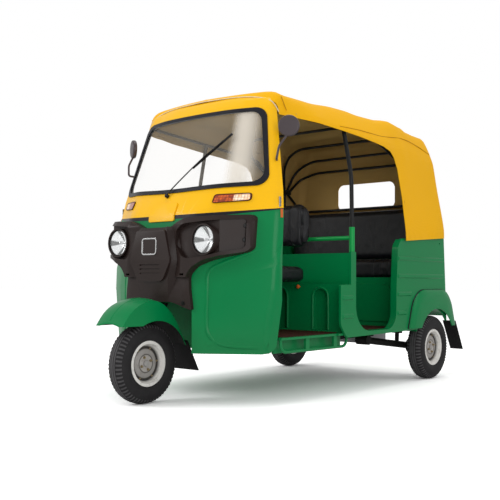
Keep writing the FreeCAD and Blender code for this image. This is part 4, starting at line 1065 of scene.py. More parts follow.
    def build_sheet(self) -> Form:
        """The whole sheet before its openings are cut: a grid laid over the bows and the back.

        Returns:
            The sheet.
        """
        form = Form()
        half = self.columns // 2
        total = self.rows + self.back_rows
        bmesh.ops.create_grid(form.mesh, x_segments=self.columns, y_segments=total, size=1.0)
        lines: dict[int, tuple[float, float, list]] = {}
        for row in range(total + 1):
            if row <= self.rows:
                y = between(self.front, self.rear - self.corner, row / self.rows)
                lines[row] = (y, 0.0, self.half_line(y, half + 1))
                continue
            share = (row - self.rows) / self.back_rows
            turn = min(1.0, share / self.corner_share) * math.pi / 2
            y = self.rear - self.corner + self.corner * math.sin(turn)
            inset = self.corner * (1 - math.cos(turn))
            if share > self.corner_share:
                rest = (share - self.corner_share) / (1 - self.corner_share)
                inset += rest * (self.back_reach - self.corner)
            lines[row] = (y, inset, self.half_line(min(y, self.rear), half + 1))
        for vert in form.mesh.verts:
            column = round((vert.co.x + 1) / 2 * self.columns)
            row = round((vert.co.y + 1) / 2 * total)
            y, inset, line = lines[row]
            x, z = line[abs(column - half)]
            high, foot = line[0][1], line[-1][1]
            x *= max(0.0, 1 - inset / self.back_reach)
            z = foot + (z - foot) * max(0.0, 1 - inset / (high - foot))
            vert.co = (x if column > half else -x, y + self.lead(x, y), z)
        bmesh.ops.remove_doubles(form.mesh, verts=form.mesh.verts, dist=1e-5)
        bmesh.ops.recalc_face_normals(form.mesh, faces=form.mesh.faces)
        return form

    def slack(self, form: Form) -> None:
        """Let the cloth dip and crease a little between its bows.

        Args:
            form: the sheet.
        """
        for vert in form.mesh.verts:
            place = vert.co * 2.6
            soft = noise.noise(Vector((place.x * 0.7, place.y * 1.7, place.z)))
            fine = noise.noise(vert.co * 9.0)
            roof = smooth_step(1.45, 1.6, vert.co.z)
            free = smooth_step(self.front, self.front + 0.15, vert.co.y)
            move = soft * self.dip + fine * self.crease * (1 - roof * 0.5)
            vert.co += vert.normal * move * free

    def on_flank(self, face: bmesh.types.BMFace) -> bool:
        """Whether a face belongs to a side of the hood, below the roof."""
        spot = face.calc_center_median()
        return abs(spot.x) > self.flank_x and spot.z < self.flank_top

    def on_back(self, face: bmesh.types.BMFace) -> bool:
        """Whether a face belongs to the hood's back."""
        return face.calc_center_median().y > self.rear - self.back_depth

    def on_lap(self, spot: Vector) -> bool:
        """Whether a point lies on the lapped edge of the roof cloth.

        Args:
            spot: the point.

        Returns:
            Whether it does.
        """
        if abs(spot.x) < self.flank_x:
            return False
        for (ay, az), (by, bz) in zip(self.lap, self.lap[1:]):
            if ay <= spot.y <= by:
                line = between(az, bz, (spot.y - ay) / (by - ay))
                return line < spot.z < line + self.lap_width + self.lap_slack
        return False

    @staticmethod
    def edge_planes(edge: Sequence[tuple[float, float]], grow: float) -> Planes:
        """The planes along an edge of the hood's side.

        Args:
            edge: its points, as places along and heights.
            grow: how far above the edge they stand.

        Returns:
            A point and a direction for each.
        """
        planes = []
        for (ay, az), (by, bz) in zip(edge, edge[1:]):
            normal = Vector((0, az - bz, by - ay)).normalized()
            planes.append((Vector((0, ay, az)) + normal * grow, normal))
        return planes

    def window_planes(self, grow: float) -> Planes:
        """The planes round the rear window, its corners rounded.

        Args:
            grow: how far outside the window they stand.

        Returns:
            A point and a direction for each.
        """
        half, low, high = self.window_half, self.window_low, self.window_high
        reach = self.window_corner
        planes = []
        for step in range(self.window_sides):
            turn = math.tau * step / self.window_sides
            normal = Vector((math.cos(turn), 0, math.sin(turn)))
            corner = Vector((half - reach if normal.x > 0 else -half + reach, 0,
                             high - reach if normal.z > 0 else low + reach))
            planes.append((corner + normal * (reach + grow), normal))
        return planes

    @staticmethod
    def within(spot: Vector, planes: Planes) -> bool:
        """Whether a point lies behind every plane."""
        return all((spot - point).dot(normal) < 0 for point, normal in planes)

    def open_up(self, form: Form, hole: Planes, hem: Planes,
                touched: Callable[[bmesh.types.BMFace], bool]) -> None:
        """Cut a hole in the sheet and draw the line of its hem.

        Args:
            form: the sheet.
            hole: the planes round the hole.
            hem: the planes round its hem.
            touched: which faces are cut.
        """
        for point, normal in hole + hem:
            form.cut(point, normal, keep=touched)
        gone = [face for face in form.mesh.faces
                if touched(face) and self.within(face.calc_center_median(), hole)]
        bmesh.ops.delete(form.mesh, geom=gone, context="FACES")

    def cut_lap(self, form: Form) -> None:
        """Draw both edges of the roof cloth's lap over the quarters.

        Args:
            form: the sheet.
        """
        places = [y for y, _ in self.lap]
        for start, end, (point, normal) in zip(places, places[1:], self.edge_planes(self.lap, 0.0)):
            for rise in (0.0, self.lap_width):
                form.cut(point + normal * rise, normal,
                         keep=lambda face: self.on_flank(face)
                         and start - 0.001 <= face.calc_center_median().y <= end + 0.001)

    def build(self) -> bpy.types.Object:
        """Cut the sheet, fold its hems and lay it on the bows.

        Returns:
            The hood's cloth.
        """
        form = self.build_sheet()
        self.slack(form)
        hem = self.edge_planes(self.opening, self.hem_width)
        window_hem = self.window_planes(self.hem_width)
        self.open_up(form, self.edge_planes(self.opening, 0.0), hem, self.on_flank)
        self.open_up(form, self.window_planes(0.0), window_hem, self.on_back)
        self.cut_lap(form)
        folds = []
        for face in form.mesh.faces:
            spot = face.calc_center_median()
            if ((self.on_flank(face) and self.within(spot, hem))
                    or (self.on_back(face) and self.within(spot, window_hem)) or self.on_lap(spot)):
                folds.append(face)
        bmesh.ops.inset_region(form.mesh, faces=folds, thickness=self.hem_step, depth=self.hem_rise,
                               use_even_offset=True, use_boundary=False)
        item = form.piece("canopy_cloth", Finish.CANVAS, "root", "canvas", ["canopy"], 60.0)
        item.data.materials.append(Finish.LINING.material)
        wall = item.modifiers.new("cloth", "SOLIDIFY")
        wall.thickness = self.gauge
        wall.offset = -1.0
        wall.material_offset = 1
        wall.material_offset_rim = 0
        return item

    def piping(self) -> bpy.types.Object:
        """The white cord sewn along the hood's front edge.

        Returns:
            The cord.
        """
        line = [(x, z) for x, z in self.half_line(self.front, 40) if z > self.piping_foot]
        half = [(x, self.front + self.lead(x, self.front) - 0.002, z) for x, z in line]
        points = [(-x, y, z) for x, y, z in reversed(half[::2])] + half[2::2]
        return tube(points, self.piping_radius).piece("canopy_piping", Finish.PIPING, "root", "canvas")

    def side_spot(self, y: float, z: float, proud: float) -> Point:
        """The cloth's left side at a place along the vehicle and a height, standing proud of it.

        Args:
            y: the place along the vehicle.
            z: the height.
            proud: how far off the cloth the point stands.

        Returns:
            The point.
        """
        line = self.half_line(y, 120)
        low, high = min(zip(line, line[1:]), key=lambda pair: abs(pair[0][1] + pair[1][1] - 2 * z)
                        if pair[0][0] > 0.40 else NOWHERE)
        return (between(low[0], high[0], 0.5) + proud, y, z)

    def seams(self) -> None:
        """The stitched lines along the lap and down each side behind the header."""
        front = [(-0.578 + 0.007 * step, 1.618 - 0.018 * step) for step in range(5)]
        for name, edge in (("canopy_lap_seam", [(y, z - 0.002) for y, z in self.lap]),
                           ("canopy_front_seam", front)):
            line = [self.side_spot(y, z, self.thread_proud) for y, z in edge]
            for side, place in ((1, "left"), (-1, "right")):
                tube([(side * x, y, z) for x, y, z in line], self.thread_radius).piece(
                    name + "_" + place, Finish.STITCH, "root", "canvas")

    def make(self) -> None:
        """Build every piece of the hood."""
        self.build()
        self.piping()
        self.seams()
        dressed("hood_frame", Finish.BLACK, "root", "black_steel", 0.0, 0.3)


# Cab


@dataclass
class Cab:
    """The pressed nose, windscreen frame, floor and partition, with their trim."""

    belt_y: float = -0.985
    belt_z: float = 0.965
    belt_rake: float = 0.165
    bead: float = 0.006
    bead_proud: float = 0.0008
    wiper_pivot: Point = (-0.004, -0.926, 1.090)
    blade_low: Point = (0.1257, -0.8582, 1.2340)
    blade_high: Point = (0.3130, -0.7515, 1.4140)
    # the way that the glass faces at the wiper
    glass_out: Point = (0.12, -0.91, 0.40)
    arm_stand: float = 0.016
    arm_radius: float = 0.0034
    blade_width: float = 0.012
    claw_reach: float = 0.07
    mat_corner: float = 0.03
    mat_pitch: float = 0.03
    catch_y: float = -0.712
    catch_half: float = 0.006
    arches: tuple = (-0.436, -0.145, 0.145, 0.436)
    arch_face: float = -0.1175
    arch_foot: float = 0.360
    arch_top: float = 0.600
    arch_half: float = 0.054
    arch_bend: float = 0.050
    rim_radius: float = 0.008
    border_radius: float = 0.0125
    border_sunk: float = 0.0075
    border_tuck: float = 0.010
    # the line round a cheek's panel, as places along and heights
    border: tuple = ((-0.690, 0.858), (-0.740, 0.826), (-0.800, 0.788), (-0.860, 0.750), (-0.900, 0.722),
                     (-0.926, 0.700), (-0.939, 0.664), (-0.941, 0.600), (-0.941, 0.520), (-0.941, 0.440),
                     (-0.939, 0.380), (-0.928, 0.335), (-0.900, 0.310), (-0.850, 0.300), (-0.790, 0.298),
                     (-0.740, 0.298), (-0.690, 0.298))

    def belt_bead(self) -> bpy.types.Object:
        """The black bead between the green and yellow pressings.

        Returns:
            The bead.
        """
        form = Form.of_node("front_cowl", 0.0)
        normal = Vector((0, -self.belt_rake, 1)).normalized()
        point = Vector((0, self.belt_y + 0.02, self.belt_z))
        form.cut(point - normal * self.bead, -normal, clear=True).close().swell(self.bead_proud)
        return form.piece("belt_bead", Finish.SEAL, "root", "black_rubber")

    def panel_borders(self) -> None:
        """The rounded bead pressed round the panel in each cheek."""
        for side, name in ((1, "left"), (-1, "right")):
            spots = [on_skin("front_cowl", (side, y, z), (-side, 0, 0)) for y, z in self.border]
            points = [spot - normal * self.border_sunk for spot, normal in spots if spot]
            for end in (0, -1):
                points[end].x -= side * self.border_tuck
            tube(points, self.border_radius).piece(
                "cheek_border_" + name, Finish.GREEN, "root", "green_paint")

    def arch_rims(self) -> bpy.types.Object:
        """The rounded rim round each arch pressed into the bulkhead.

        Returns:
            The rims, as one piece.
        """
        half, bend, top = self.arch_half, self.arch_bend, self.arch_top - self.arch_bend
        post = [(-half, self.arch_foot), (-half, self.arch_foot + 0.09), (-half, top)]
        turns = [math.pi * step / 8 for step in range(1, 8)]
        crown = [(-half * math.cos(turn), top + bend * math.sin(turn)) for turn in turns]
        line = post + crown + [(half, z) for _, z in reversed(post)]
        form = Form()
        for middle in self.arches:
            form.join(tube([(middle + x, self.arch_face, z) for x, z in line], self.rim_radius))
        return form.piece("partition_rims", Finish.GREEN, "root", "green_paint")

    def wiper(self) -> None:
        """The wiper's boss, its bent arm and the sprung blade on the glass."""
        pivot, low, high = (Vector(spot) for spot in (self.wiper_pivot, self.blade_low, self.blade_high))
        out = Vector(self.glass_out).normalized()
        ahead = (high - low).normalized()
        middle = (low + high) / 2
        stand = out * self.arm_stand
        arm = tube([pivot + out * 0.006, pivot + ahead * 0.05 + stand, middle - ahead * 0.03 + stand,
                    middle + out * 0.008], self.arm_radius)
        arm.lathe([(-0.022, 0.0), (-0.022, 0.011), (0.004, 0.011), (0.010, 0.007), (0.010, 0.0)],
                  pivot, out, 24)
        arm.piece("wiper_arm", Finish.SATIN, "root", "dark_moulding", ["wiper"])
        blade = Form().bar(low + out * 0.004, high + out * 0.004, self.blade_width, 0.0035, out)
        reach = self.claw_reach
        blade.bar(middle - ahead * reach + out * 0.008, middle + ahead * reach + out * 0.008,
                  0.0075, 0.005, out)
        for place in (-reach, reach):
            blade.bar(middle + ahead * (place - 0.008) + out * 0.005,
                      middle + ahead * (place + 0.008) + out * 0.005, self.blade_width, 0.006, out)
        soft_edges(blade.piece("wiper_blade", Finish.SATIN, "root", "dark_moulding"), 0.0006)
        edge = Form().bar(low - out * 0.001, high - out * 0.001, 0.0028, 0.007, out)
        soft_edges(edge.piece("wiper_rubber", Finish.RUBBER, "root", "black_rubber"), 0.0005)

    def catches(self) -> None:
        """The bright catch plates and amber reflectors on the cab's rear edges."""
        plates, lamps = Form(), Form()
        y, half = self.catch_y, self.catch_half
        for side in (1, -1):
            spot, _ = on_skin("screen_surround", (side, y, 1.03), (-side, 0, 0))
            x = spot.x + side * 0.0015
            plates.cube((x - 0.0025, y - half, 1.012), (x + 0.0025, y + half, 1.066))
            for z in (1.022, 1.039, 1.056):
                plates.rod((x, y, z), (x + side * 0.006, y, z), 0.0042, 12)
            spot, _ = on_skin("front_cowl", (side, y, 0.98), (-side, 0, 0))
            x = spot.x + side * 0.001
            lamps.cube((x - 0.004, y - half, 0.958), (x + 0.004, y + half, 1.002))
        soft_edges(plates.piece("cab_catches", Finish.ALLOY, "root", "black_steel"), 0.001)
        soft_edges(lamps.piece("cab_reflectors", Finish.KNOB, "root", "amber_lens"), 0.001)

    def mats(self) -> None:
        """The ribbed rubber mats on the floor."""
        for name, low, high in (
                ("passenger_mat", (-0.54, 0.010, 0.3481), (0.54, 0.560, 0.3521)),
                ("driver_mat_left", (0.180, -0.640, 0.3452), (0.570, -0.130, 0.3492)),
                ("driver_mat_right", (-0.570, -0.640, 0.3452), (-0.180, -0.130, 0.3492))):
            form = Form().cube(low, high).round_along(2, self.mat_corner, 5)
            count = round((high[0] - low[0]) / self.mat_pitch)
            for index in range(1, count):
                form.cut((between(low[0], high[0], index / count), 0, 0), (1, 0, 0))
            top = [face for face in form.mesh.faces if face.normal.z > 0.9]
            bmesh.ops.inset_individual(form.mesh, faces=top, thickness=0.006, depth=-0.0012)
            form.piece(name, Finish.MAT, "root", "black_rubber")

    def knob(self) -> None:
        """The round choke knob under the driver's cushion."""
        spot, normal = on_skin("partition", (0.290, -0.60, 0.604), (0, 1, 0))
        ball = [(0.0, 0.0), (0.0, 0.004), (0.012, 0.004), (0.014, 0.010), (0.020, 0.0125),
                (0.026, 0.010), (0.029, 0.005), (0.030, 0.0)]
        Form().lathe(ball, spot, normal, 24).piece("choke_knob", Finish.KNOB, "root", "dark_moulding")

    def make(self) -> None:
        """Dress the pressings."""
        for node, finish, slot in (
                ("front_cowl", Finish.GREEN, "green_paint"),
                ("screen_surround", Finish.YELLOW, "yellow_paint"),
                ("floor_pan", Finish.GREEN, "green_paint"),
                ("partition", Finish.GREEN, "green_paint"),
                ("seat_pedestal", Finish.GREEN, "green_paint"),
                ("engine_cover", Finish.GREEN, "green_paint"),
                ("nose_plate", Finish.YELLOW, "yellow_paint"),
                ("dashboard", Finish.DARK, "dark_moulding")):
            dressed(node, finish, "root", slot)
        dressed("screen_seal", Finish.SEAL, "root", "black_rubber", 0.003)
        dressed("screen_glass", Finish.GLASS, "root", "screen_glass", 0.0)
        dressed("mirrors", Finish.MIRROR, "root", "dark_moulding", 0.0)
        self.belt_bead()
        self.panel_borders()
        self.arch_rims()
        self.wiper()
        self.catches()
        self.mats()
        self.knob()


@dataclass
class Face:
    """The dark lamp moulding with its lamps, badge frame and indicators."""

    lamp_x: float = 0.326
    lamp_y: float = -0.984
    lamp_z: float = 0.843
    lamp_radius: float = 0.0725
    badge_low: float = 0.768
    badge_high: float = 0.857
    badge_half: float = 0.056
    badge_y: float = -1.0500
    badge_lean: float = 1.5
    badge_corner: float = 0.018
    badge_rim: float = 0.0065
    # the screws on one side, as distances from the middle and heights
    screws: tuple = ((0.487, 0.914), (0.484, 0.842), (0.200, 0.520))

    def headlamp(self, side: int, node: str) -> None:
        """One lamp: a fluted bowl, its bulb, a ring and a domed glass.

        Args:
            side: 1 for the left lamp and -1 for the right one.
            node: the frame piece that the bowl stands for.
        """
        centre = (side * self.lamp_x, self.lamp_y, self.lamp_z)
        radius = self.lamp_radius
        bowl = [(0.046, 0.0), (0.044, 0.012), (0.036, 0.028), (0.024, 0.045), (0.006, radius - 0.006),
                (0.004, radius - 0.0045), (0.030, radius - 0.0045), (0.056, 0.020), (0.056, 0.0)]
        item = Form().lathe(bowl, centre, (0, 1, 0), 64).piece(
            node + "_bowl", Finish.CHROME, "root", "lamp_lens", [node], 50.0)
        item.data.materials[0] = Bowl("bowl_" + node, centre).build()
        bulb = [(0.006, 0.0), (0.008, 0.006), (0.014, 0.009), (0.030, 0.009), (0.046, 0.006)]
        ring = [(-0.001, radius - 0.0045), (-0.003, radius - 0.003), (-0.003, radius - 0.001),
                (0.000, radius), (0.020, radius), (0.020, radius - 0.004), (0.004, radius - 0.005),
                (-0.001, radius - 0.0045)]
        dome = [(-0.0105, 0.0), (-0.0100, 0.018), (-0.0085, 0.036), (-0.005, 0.054),
                (0.000, radius - 0.0055), (0.002, radius - 0.0055), (-0.003, 0.053), (-0.0065, 0.035),
                (-0.008, 0.018), (-0.0085, 0.0)]
        for name, profile, steps, finish in (("_bulb", bulb, 24, Finish.CHROME),
                                             ("_ring", ring, 64, Finish.SATIN),
                                             ("_glass", dome, 64, Finish.CLEAR)):
            Form().lathe(profile, centre, (0, 1, 0), steps).piece(
                node + name, finish, "root", "lamp_lens")

    def badge(self) -> bpy.types.Object:
        """The bare chrome frame in the middle of the snout.

        Returns:
            The frame.
        """
        form = Form().cube((-self.badge_half, -0.006, self.badge_low),
                           (self.badge_half, 0.004, self.badge_high))
        form.round_along(1, self.badge_corner, 5)
        front = [face for face in form.mesh.faces if face.normal.y < -0.9]
        bmesh.ops.inset_region(form.mesh, faces=front, thickness=self.badge_rim, depth=0.0)
        bmesh.ops.inset_region(form.mesh, faces=front, thickness=0.0008, depth=-0.004)
        for face in front:
            face.material_index = 1
        middle = Vector((0, 0, (self.badge_low + self.badge_high) / 2))
        lean = Matrix.Rotation(math.radians(-self.badge_lean), 4, "X")
        bmesh.ops.transform(form.mesh, verts=form.mesh.verts,
                            matrix=Matrix.Translation(middle) @ lean @ Matrix.Translation(-middle))
        form.shift((0, self.badge_y, 0.0))
        item = form.piece("badge_frame", Finish.CHROME, "root", "dark_moulding")
        item.data.materials.append(Finish.DARK.material)
        return soft_edges(item, 0.0006)

    def indicators(self) -> bpy.types.Object:
        """The turn lamps: a dark frame round a cell lens with a bright window at its outer end.

        Returns:
            Both turn lamps, as one piece.
        """
        form = Form.of_node("indicator_lamps", 1.0)
        front = [face for face in form.mesh.faces if face.normal.y < -0.35]
        bmesh.ops.inset_region(form.mesh, faces=front, thickness=0.0055, depth=-0.0015,
                               use_even_offset=True, use_boundary=True)
        for face in front:
            face.material_index = 1
        item = form.piece("indicator_lenses", Finish.LAMP_FRAME, "root", "amber_lens",
                          ["indicator_lamps"])
        item.data.materials.append(Finish.AMBER.material)
        return item

    def screw_heads(self) -> bpy.types.Object:
        """The sunk screws at the moulding's ends and lowest tips.

        Returns:
            The screws, as one piece.
        """
        form = Form()
        dish = [(-0.001, 0.0125), (0.0020, 0.0118), (0.0024, 0.0100), (0.0006, 0.0085), (0.0006, 0.0052),
                (0.0028, 0.0048), (0.0034, 0.0)]
        for side in (1, -1):
            for x, z in self.screws:
                spot, normal = on_skin("headlamp_fascia", (side * x, -1.5, z), (0, 1, 0))
                form.lathe(dish, spot, normal, 20)
        return form.piece("fascia_screws", Finish.SATIN, "root", "dark_moulding")

    def make(self) -> None:
        """Build and dress the face."""
        dressed("headlamp_fascia", Finish.DARK, "root", "dark_moulding", 0.0022)
        for side, node in ((1, "headlamp_left"), (-1, "headlamp_right")):
            self.headlamp(side, node)
        self.badge()
        self.indicators()
        self.screw_heads()


# Body


@dataclass
class Body:
    """The passenger tub, flares, rear lamps and flaps."""

    bead_to: float = 0.6255
    bead_proud: float = 0.0016

    def flare_bead(self, side: int, node: str) -> bpy.types.Object:
        """The dark rubber bead squeezed between a flare and the tub.

        Args:
            side: 1 for the left flare and -1 for the right one.
            node: the flare's frame piece.

        Returns:
            The bead.
        """
        form = Form.of_node(node, 0.0)
        form.cut((side * self.bead_to, 0, 0), (side, 0, 0), clear=True).close()
        form.mesh.normal_update()
        return form.swell(self.bead_proud).piece(node + "_bead", Finish.SEAL, "root", "black_rubber")

    def make(self) -> None:
        """Dress the pressings and add their small parts."""
        for node in ("tub_side_left", "tub_side_right", "tub_rear", "flare_left", "flare_right"):
            dressed(node, Finish.GREEN, "root", "green_paint")
        # the grab rail takes the lighter green, a painted highlight
        dressed("grab_rail", Finish.HIGHLIT_GREEN, "root", "green_paint")
        for side, node in ((1, "flare_left"), (-1, "flare_right")):
            self.flare_bead(side, node)
        dressed("engine_lid", Finish.GREEN, "engine_lid", "green_paint")
        dressed("tail_lamps", Finish.RED, "root", "red_lens", 0.0)
        dressed("rear_flaps", Finish.RUBBER, "root", "black_rubber", 0.0)


@dataclass
class Running:
    """The frame, suspension and engine under the body."""

    engine_edge: float = 0.004

    def make(self) -> None:
        """Dress the running gear."""
        for node in ("chassis_frame", "trailing_arms", "suspension_units"):
            dressed(node, Finish.UNDER, "root", "black_steel", 0.0)
        dressed("engine", Finish.ALLOY, "root", "engine_alloy", self.engine_edge)


@dataclass
class Steering:
    """The bars, fork and front mudguard, which turn together."""

    hub: Point = (0.0, -1.0875, 0.2072)
    # where the crown's rib starts and ends, in degrees from the top towards the rear
    reach: tuple = (-62, 34)
    rib_spots: int = 16
    rib_radius: float = 0.0034
    rib_sunk: float = 0.0012
    # how squarely a face of the mudguard looks at the hub to take the dark underside finish, which
    # paints shade with road grime on its inner faces
    inner: float = 0.35

    def ridge(self) -> bpy.types.Object:
        """The rib pressed along the crown of the mudguard.

        Returns:
            The rib.
        """
        points = []
        for step in range(self.rib_spots + 1):
            angle = math.radians(between(*self.reach, step / self.rib_spots))
            away = Vector((0, math.sin(angle), math.cos(angle)))
            spot, _ = on_skin("front_mudguard", Vector(self.hub) + away, -away)
            if spot:
                points.append(spot - away * self.rib_sunk)
        return tube(points, self.rib_radius).piece(
            "mudguard_ridge", Finish.GREEN, "steering", "green_paint")

    def make(self) -> None:
        """Dress what turns with the bars."""
        dressed("handlebar", Finish.BLACK, "steering", "black_steel", 0.0)
        dressed("fork", Finish.UNDER, "steering", "black_steel", 0.0)
        guard = dressed("front_mudguard", Finish.GREEN, "steering", "green_paint", 0.0015)
        guard.data.materials.append(Finish.UNDER.material)
        # painted shade with road grime: faces turned to the wheel take the dark underside finish
        for face in guard.data.polygons:
            inward = Vector(self.hub) - face.center
            if face.normal.dot(inward.normalized()) > self.inner:
                face.material_index = 1
        self.ridge()
        dressed("front_flap", Finish.RUBBER, "steering", "black_rubber", 0.0)


@dataclass
class Wheel:
    """One wheel: a ribbed tyre with shoulder blocks on a split rim."""

    place: str
    x: float
    y: float
    radius: float = 0.2072
    width: float = 0.110
    bead: float = 0.112
    steps: int = 120
    block: float = 0.0022
    # how far from the middle the raised ribs and the shoulder's blocks reach
    ribs: tuple = ((0.0, 0.005), (0.0100, 0.0195))
    shoulder: tuple = (0.022, 0.047)
    shoulder_drop: float = 0.024
    # count, distance from the middle, start, size and first angle of the nuts and the clamp bolts
    fasteners: tuple = ((4, 0.034, 0.020, 0.0075, 0.4), (6, 0.082, 0.006, 0.006, 0.1))

    def tyre(self) -> bpy.types.Object:
        """The tyre, with grooves round its crown and blocks on its shoulders.

        Returns:
            The tyre.
        """
        crown, side, seat = self.radius - self.block, self.width / 2, self.bead
        half = [(0.0, crown), (0.007, crown), (0.009, crown - 0.0005), (0.020, crown - 0.0015),
                (0.022, crown - 0.002), (0.034, crown - 0.006), (0.0415, crown - 0.0135),
                (0.047, crown - 0.022), (0.0525, crown - 0.040), (side, crown - 0.056),
                (0.0525, seat + 0.020), (0.046, seat + 0.008), (0.040, seat + 0.002),
                (0.036, seat - 0.006)]
        profile = [(-x, y) for x, y in reversed(half[1:])] + half
        profile += [(0.030, seat - 0.010), (-0.030, seat - 0.010), (-half[-1][0], half[-1][1])]
        form = Form().lathe(profile, (0, 0, 0), (1, 0, 0), self.steps)
        blocks = []
        for face in form.mesh.faces:
            spot = face.calc_center_median()
            reach = math.hypot(spot.y, spot.z)
            turn = round((math.atan2(spot.z, spot.y) / math.tau) * self.steps - 0.5)
            across = abs(spot.x)
            on_rib = any(low <= across < high for low, high in self.ribs)
            on_shoulder = (self.shoulder[0] < across < self.shoulder[1]
                           and reach > crown - self.shoulder_drop)
            if on_rib or (on_shoulder and turn % 2 != 0):
                blocks.append(face)
        bmesh.ops.inset_region(form.mesh, faces=blocks, thickness=0.0006, depth=self.block,
                               use_even_offset=True)
        for face in blocks:
            face.material_index = 1
        form.shift((self.x, self.y, self.radius))
        name = self.place + "_tyre"
        item = form.piece(name + "_tread", Finish.TYRE, self.place + "_wheel", "tyre", [name], 40.0)
        item.data.materials.append(Finish.TREAD.material)
        return item

    def bolts(self) -> bpy.types.Object:
        """The hub cap, its nuts and the rim's clamp bolts, on the outer face.

        Returns:
            The cap, nuts and bolts, as one piece.
        """
        form = Form()
        out = -1 if self.x < 0 else 1
        base = Vector((self.x, self.y, self.radius))
        cap = [(0.008, 0.0), (0.010, 0.017), (0.027, 0.017), (0.031, 0.014), (0.032, 0.0)]
        form.lathe(cap, base, (out, 0, 0), 32)
        for face in form.mesh.faces:
            face.material_index = 1
        for count, reach, start, size, turn in self.fasteners:
            for index in range(count):
                angle = turn + math.tau * index / count
                spot = base + Vector((out * start, reach * math.cos(angle), reach * math.sin(angle)))
                form.rod(spot, spot + Vector((out * 0.009, 0, 0)), size, 6)
                form.rod(spot + Vector((out * 0.008, 0, 0)), spot + Vector((out * 0.015, 0, 0)),
                         size * 0.5, 12)
        item = form.piece(self.place + "_wheel_bolts", Finish.ZINC, self.place + "_wheel", "wheel_paint")
        item.data.materials.append(Finish.WHEEL.material)
        return soft_edges(item, 0.0006)

    def make(self) -> None:
        """Build the tyre and dress the rim."""
        self.tyre()
        self.bolts()
        rim = dressed(self.place + "_rim", Finish.WHEEL, self.place + "_wheel", "wheel_paint", 0.0012)
        paint = RimPaint(self.place + "_rim_paint", (self.x, self.y, self.radius))
        rim.data.materials[0] = paint.build()


# Seats


@dataclass
class Cushion:
    """A stuffed pad with rounded edges and sewn channels."""

    node: str
    # where the channels run, and the axes along which edges are rounded, with the radius of each
    channels: tuple = ()
    outline: tuple = ()
    channel_axis: int = 0
    depth: float = 0.006
    bulge: float = 0.010
    voxel: float = 0.006
    slim: float = 0.004
    seam_width: float = 0.007
    wrinkle: float = 0.0022
    pressure: float = 4.0
    frames: int = 20

    def shell(self) -> bpy.types.Object:
        """The pad's rounded box, slightly under size, remeshed evenly.

        Returns:
            The pad.
        """
        low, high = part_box(self.node)
        slim = Vector((self.slim,) * 3)
        form = Form().cube(low + slim, high - slim)
        for axis, radius in self.outline:
            form.round_along(axis, radius, 8)
        form.bevel(0.020, 4)
        item = form.piece(self.node + "_pad", Finish.SEAT, "root", "upholstery", [self.node], 180.0)
        even = item.modifiers.new("even", "REMESH")
        even.mode = "VOXEL"
        even.voxel_size = self.voxel
        self.settle(item)
        return item

    @staticmethod
    def settle(item: bpy.types.Object) -> None:
        """Turn the piece's modifiers into its mesh.

        Args:
            item: the piece.
        """
        depsgraph = bpy.context.evaluated_depsgraph_get()
        data = bpy.data.meshes.new_from_object(item.evaluated_get(depsgraph))
        old = item.data
        item.modifiers.clear()
        item.data = data
        bpy.data.meshes.remove(old)
        data.name = item.name
        if not data.materials:
            data.materials.append(Finish.SEAT.material)

    def inflate(self, item: bpy.types.Object) -> None:
        """Swell the pad with cloth under pressure, no further than the bulge allows.

        Args:
            item: the pad.
        """
        rest = [vert.co.copy() for vert in item.data.vertices]
        cloth = item.modifiers.new("swell", "CLOTH")
        cloth.settings.use_pressure = True
        cloth.settings.uniform_pressure_force = self.pressure
        cloth.settings.quality = 4
        cloth.settings.tension_stiffness = 12
        cloth.settings.effector_weights.gravity = 0.0
        scene = bpy.context.scene
        for step in range(1, self.frames + 1):
            scene.frame_set(step)
        self.settle(item)
        scene.frame_set(1)
        for vert, start in zip(item.data.vertices, rest):
            move = vert.co - start
            if move.length > self.bulge:
                vert.co = start + move.normalized() * self.bulge

    def sew(self, item: bpy.types.Object) -> None:
        """Pull the channels in and crease the cloth beside them.

        Args:
            item: the pad.
        """
        form = Form()
        form.mesh.from_mesh(item.data)
        for vert in form.mesh.verts:
            pull = sum(math.exp(-((vert.co[self.channel_axis] - line) / self.seam_width) ** 2)
                       for line in self.channels)
            crease = noise.noise(Vector((vert.co.x * 26, vert.co.y * 11, vert.co.z * 11)))
            vert.co -= vert.normal * (pull * self.depth + abs(crease) * self.wrinkle)
        form.mesh.to_mesh(item.data)
        form.mesh.free()
        item.data.polygons.foreach_set("use_smooth", [True] * len(item.data.polygons))
        item.data.update()

    def make(self) -> bpy.types.Object:
        """Build the pad.

        Returns:
            The pad.
        """
        item = self.shell()
        self.inflate(item)
        self.sew(item)
        finer = item.modifiers.new("finer", "SUBSURF")
        finer.levels = 1
        finer.render_levels = 1
        return item


@dataclass
class Seats:
    """The driver's seat and the passengers' bench."""

    pads: list[Cushion] = field(default_factory=lambda: [
        Cushion("driver_cushion", tuple(0.11 * i for i in (-2, -1, 0, 1, 2)), ((2, 0.055),)),
        Cushion("driver_backrest", tuple(0.075 * i for i in range(-4, 5)), ((1, 0.075),), bulge=0.012),
        Cushion("bench_cushion", (-0.45, -0.395, -0.33, 0.0, 0.33, 0.395, 0.45), ((2, 0.03),),
                bulge=0.012, voxel=0.0066),
        Cushion("bench_backrest", (), ((1, 0.03),), bulge=0.012, voxel=0.0066),
    ])

    def make(self) -> None:
        """Build every pad."""
        for pad in self.pads:
            pad.make()


# Studio


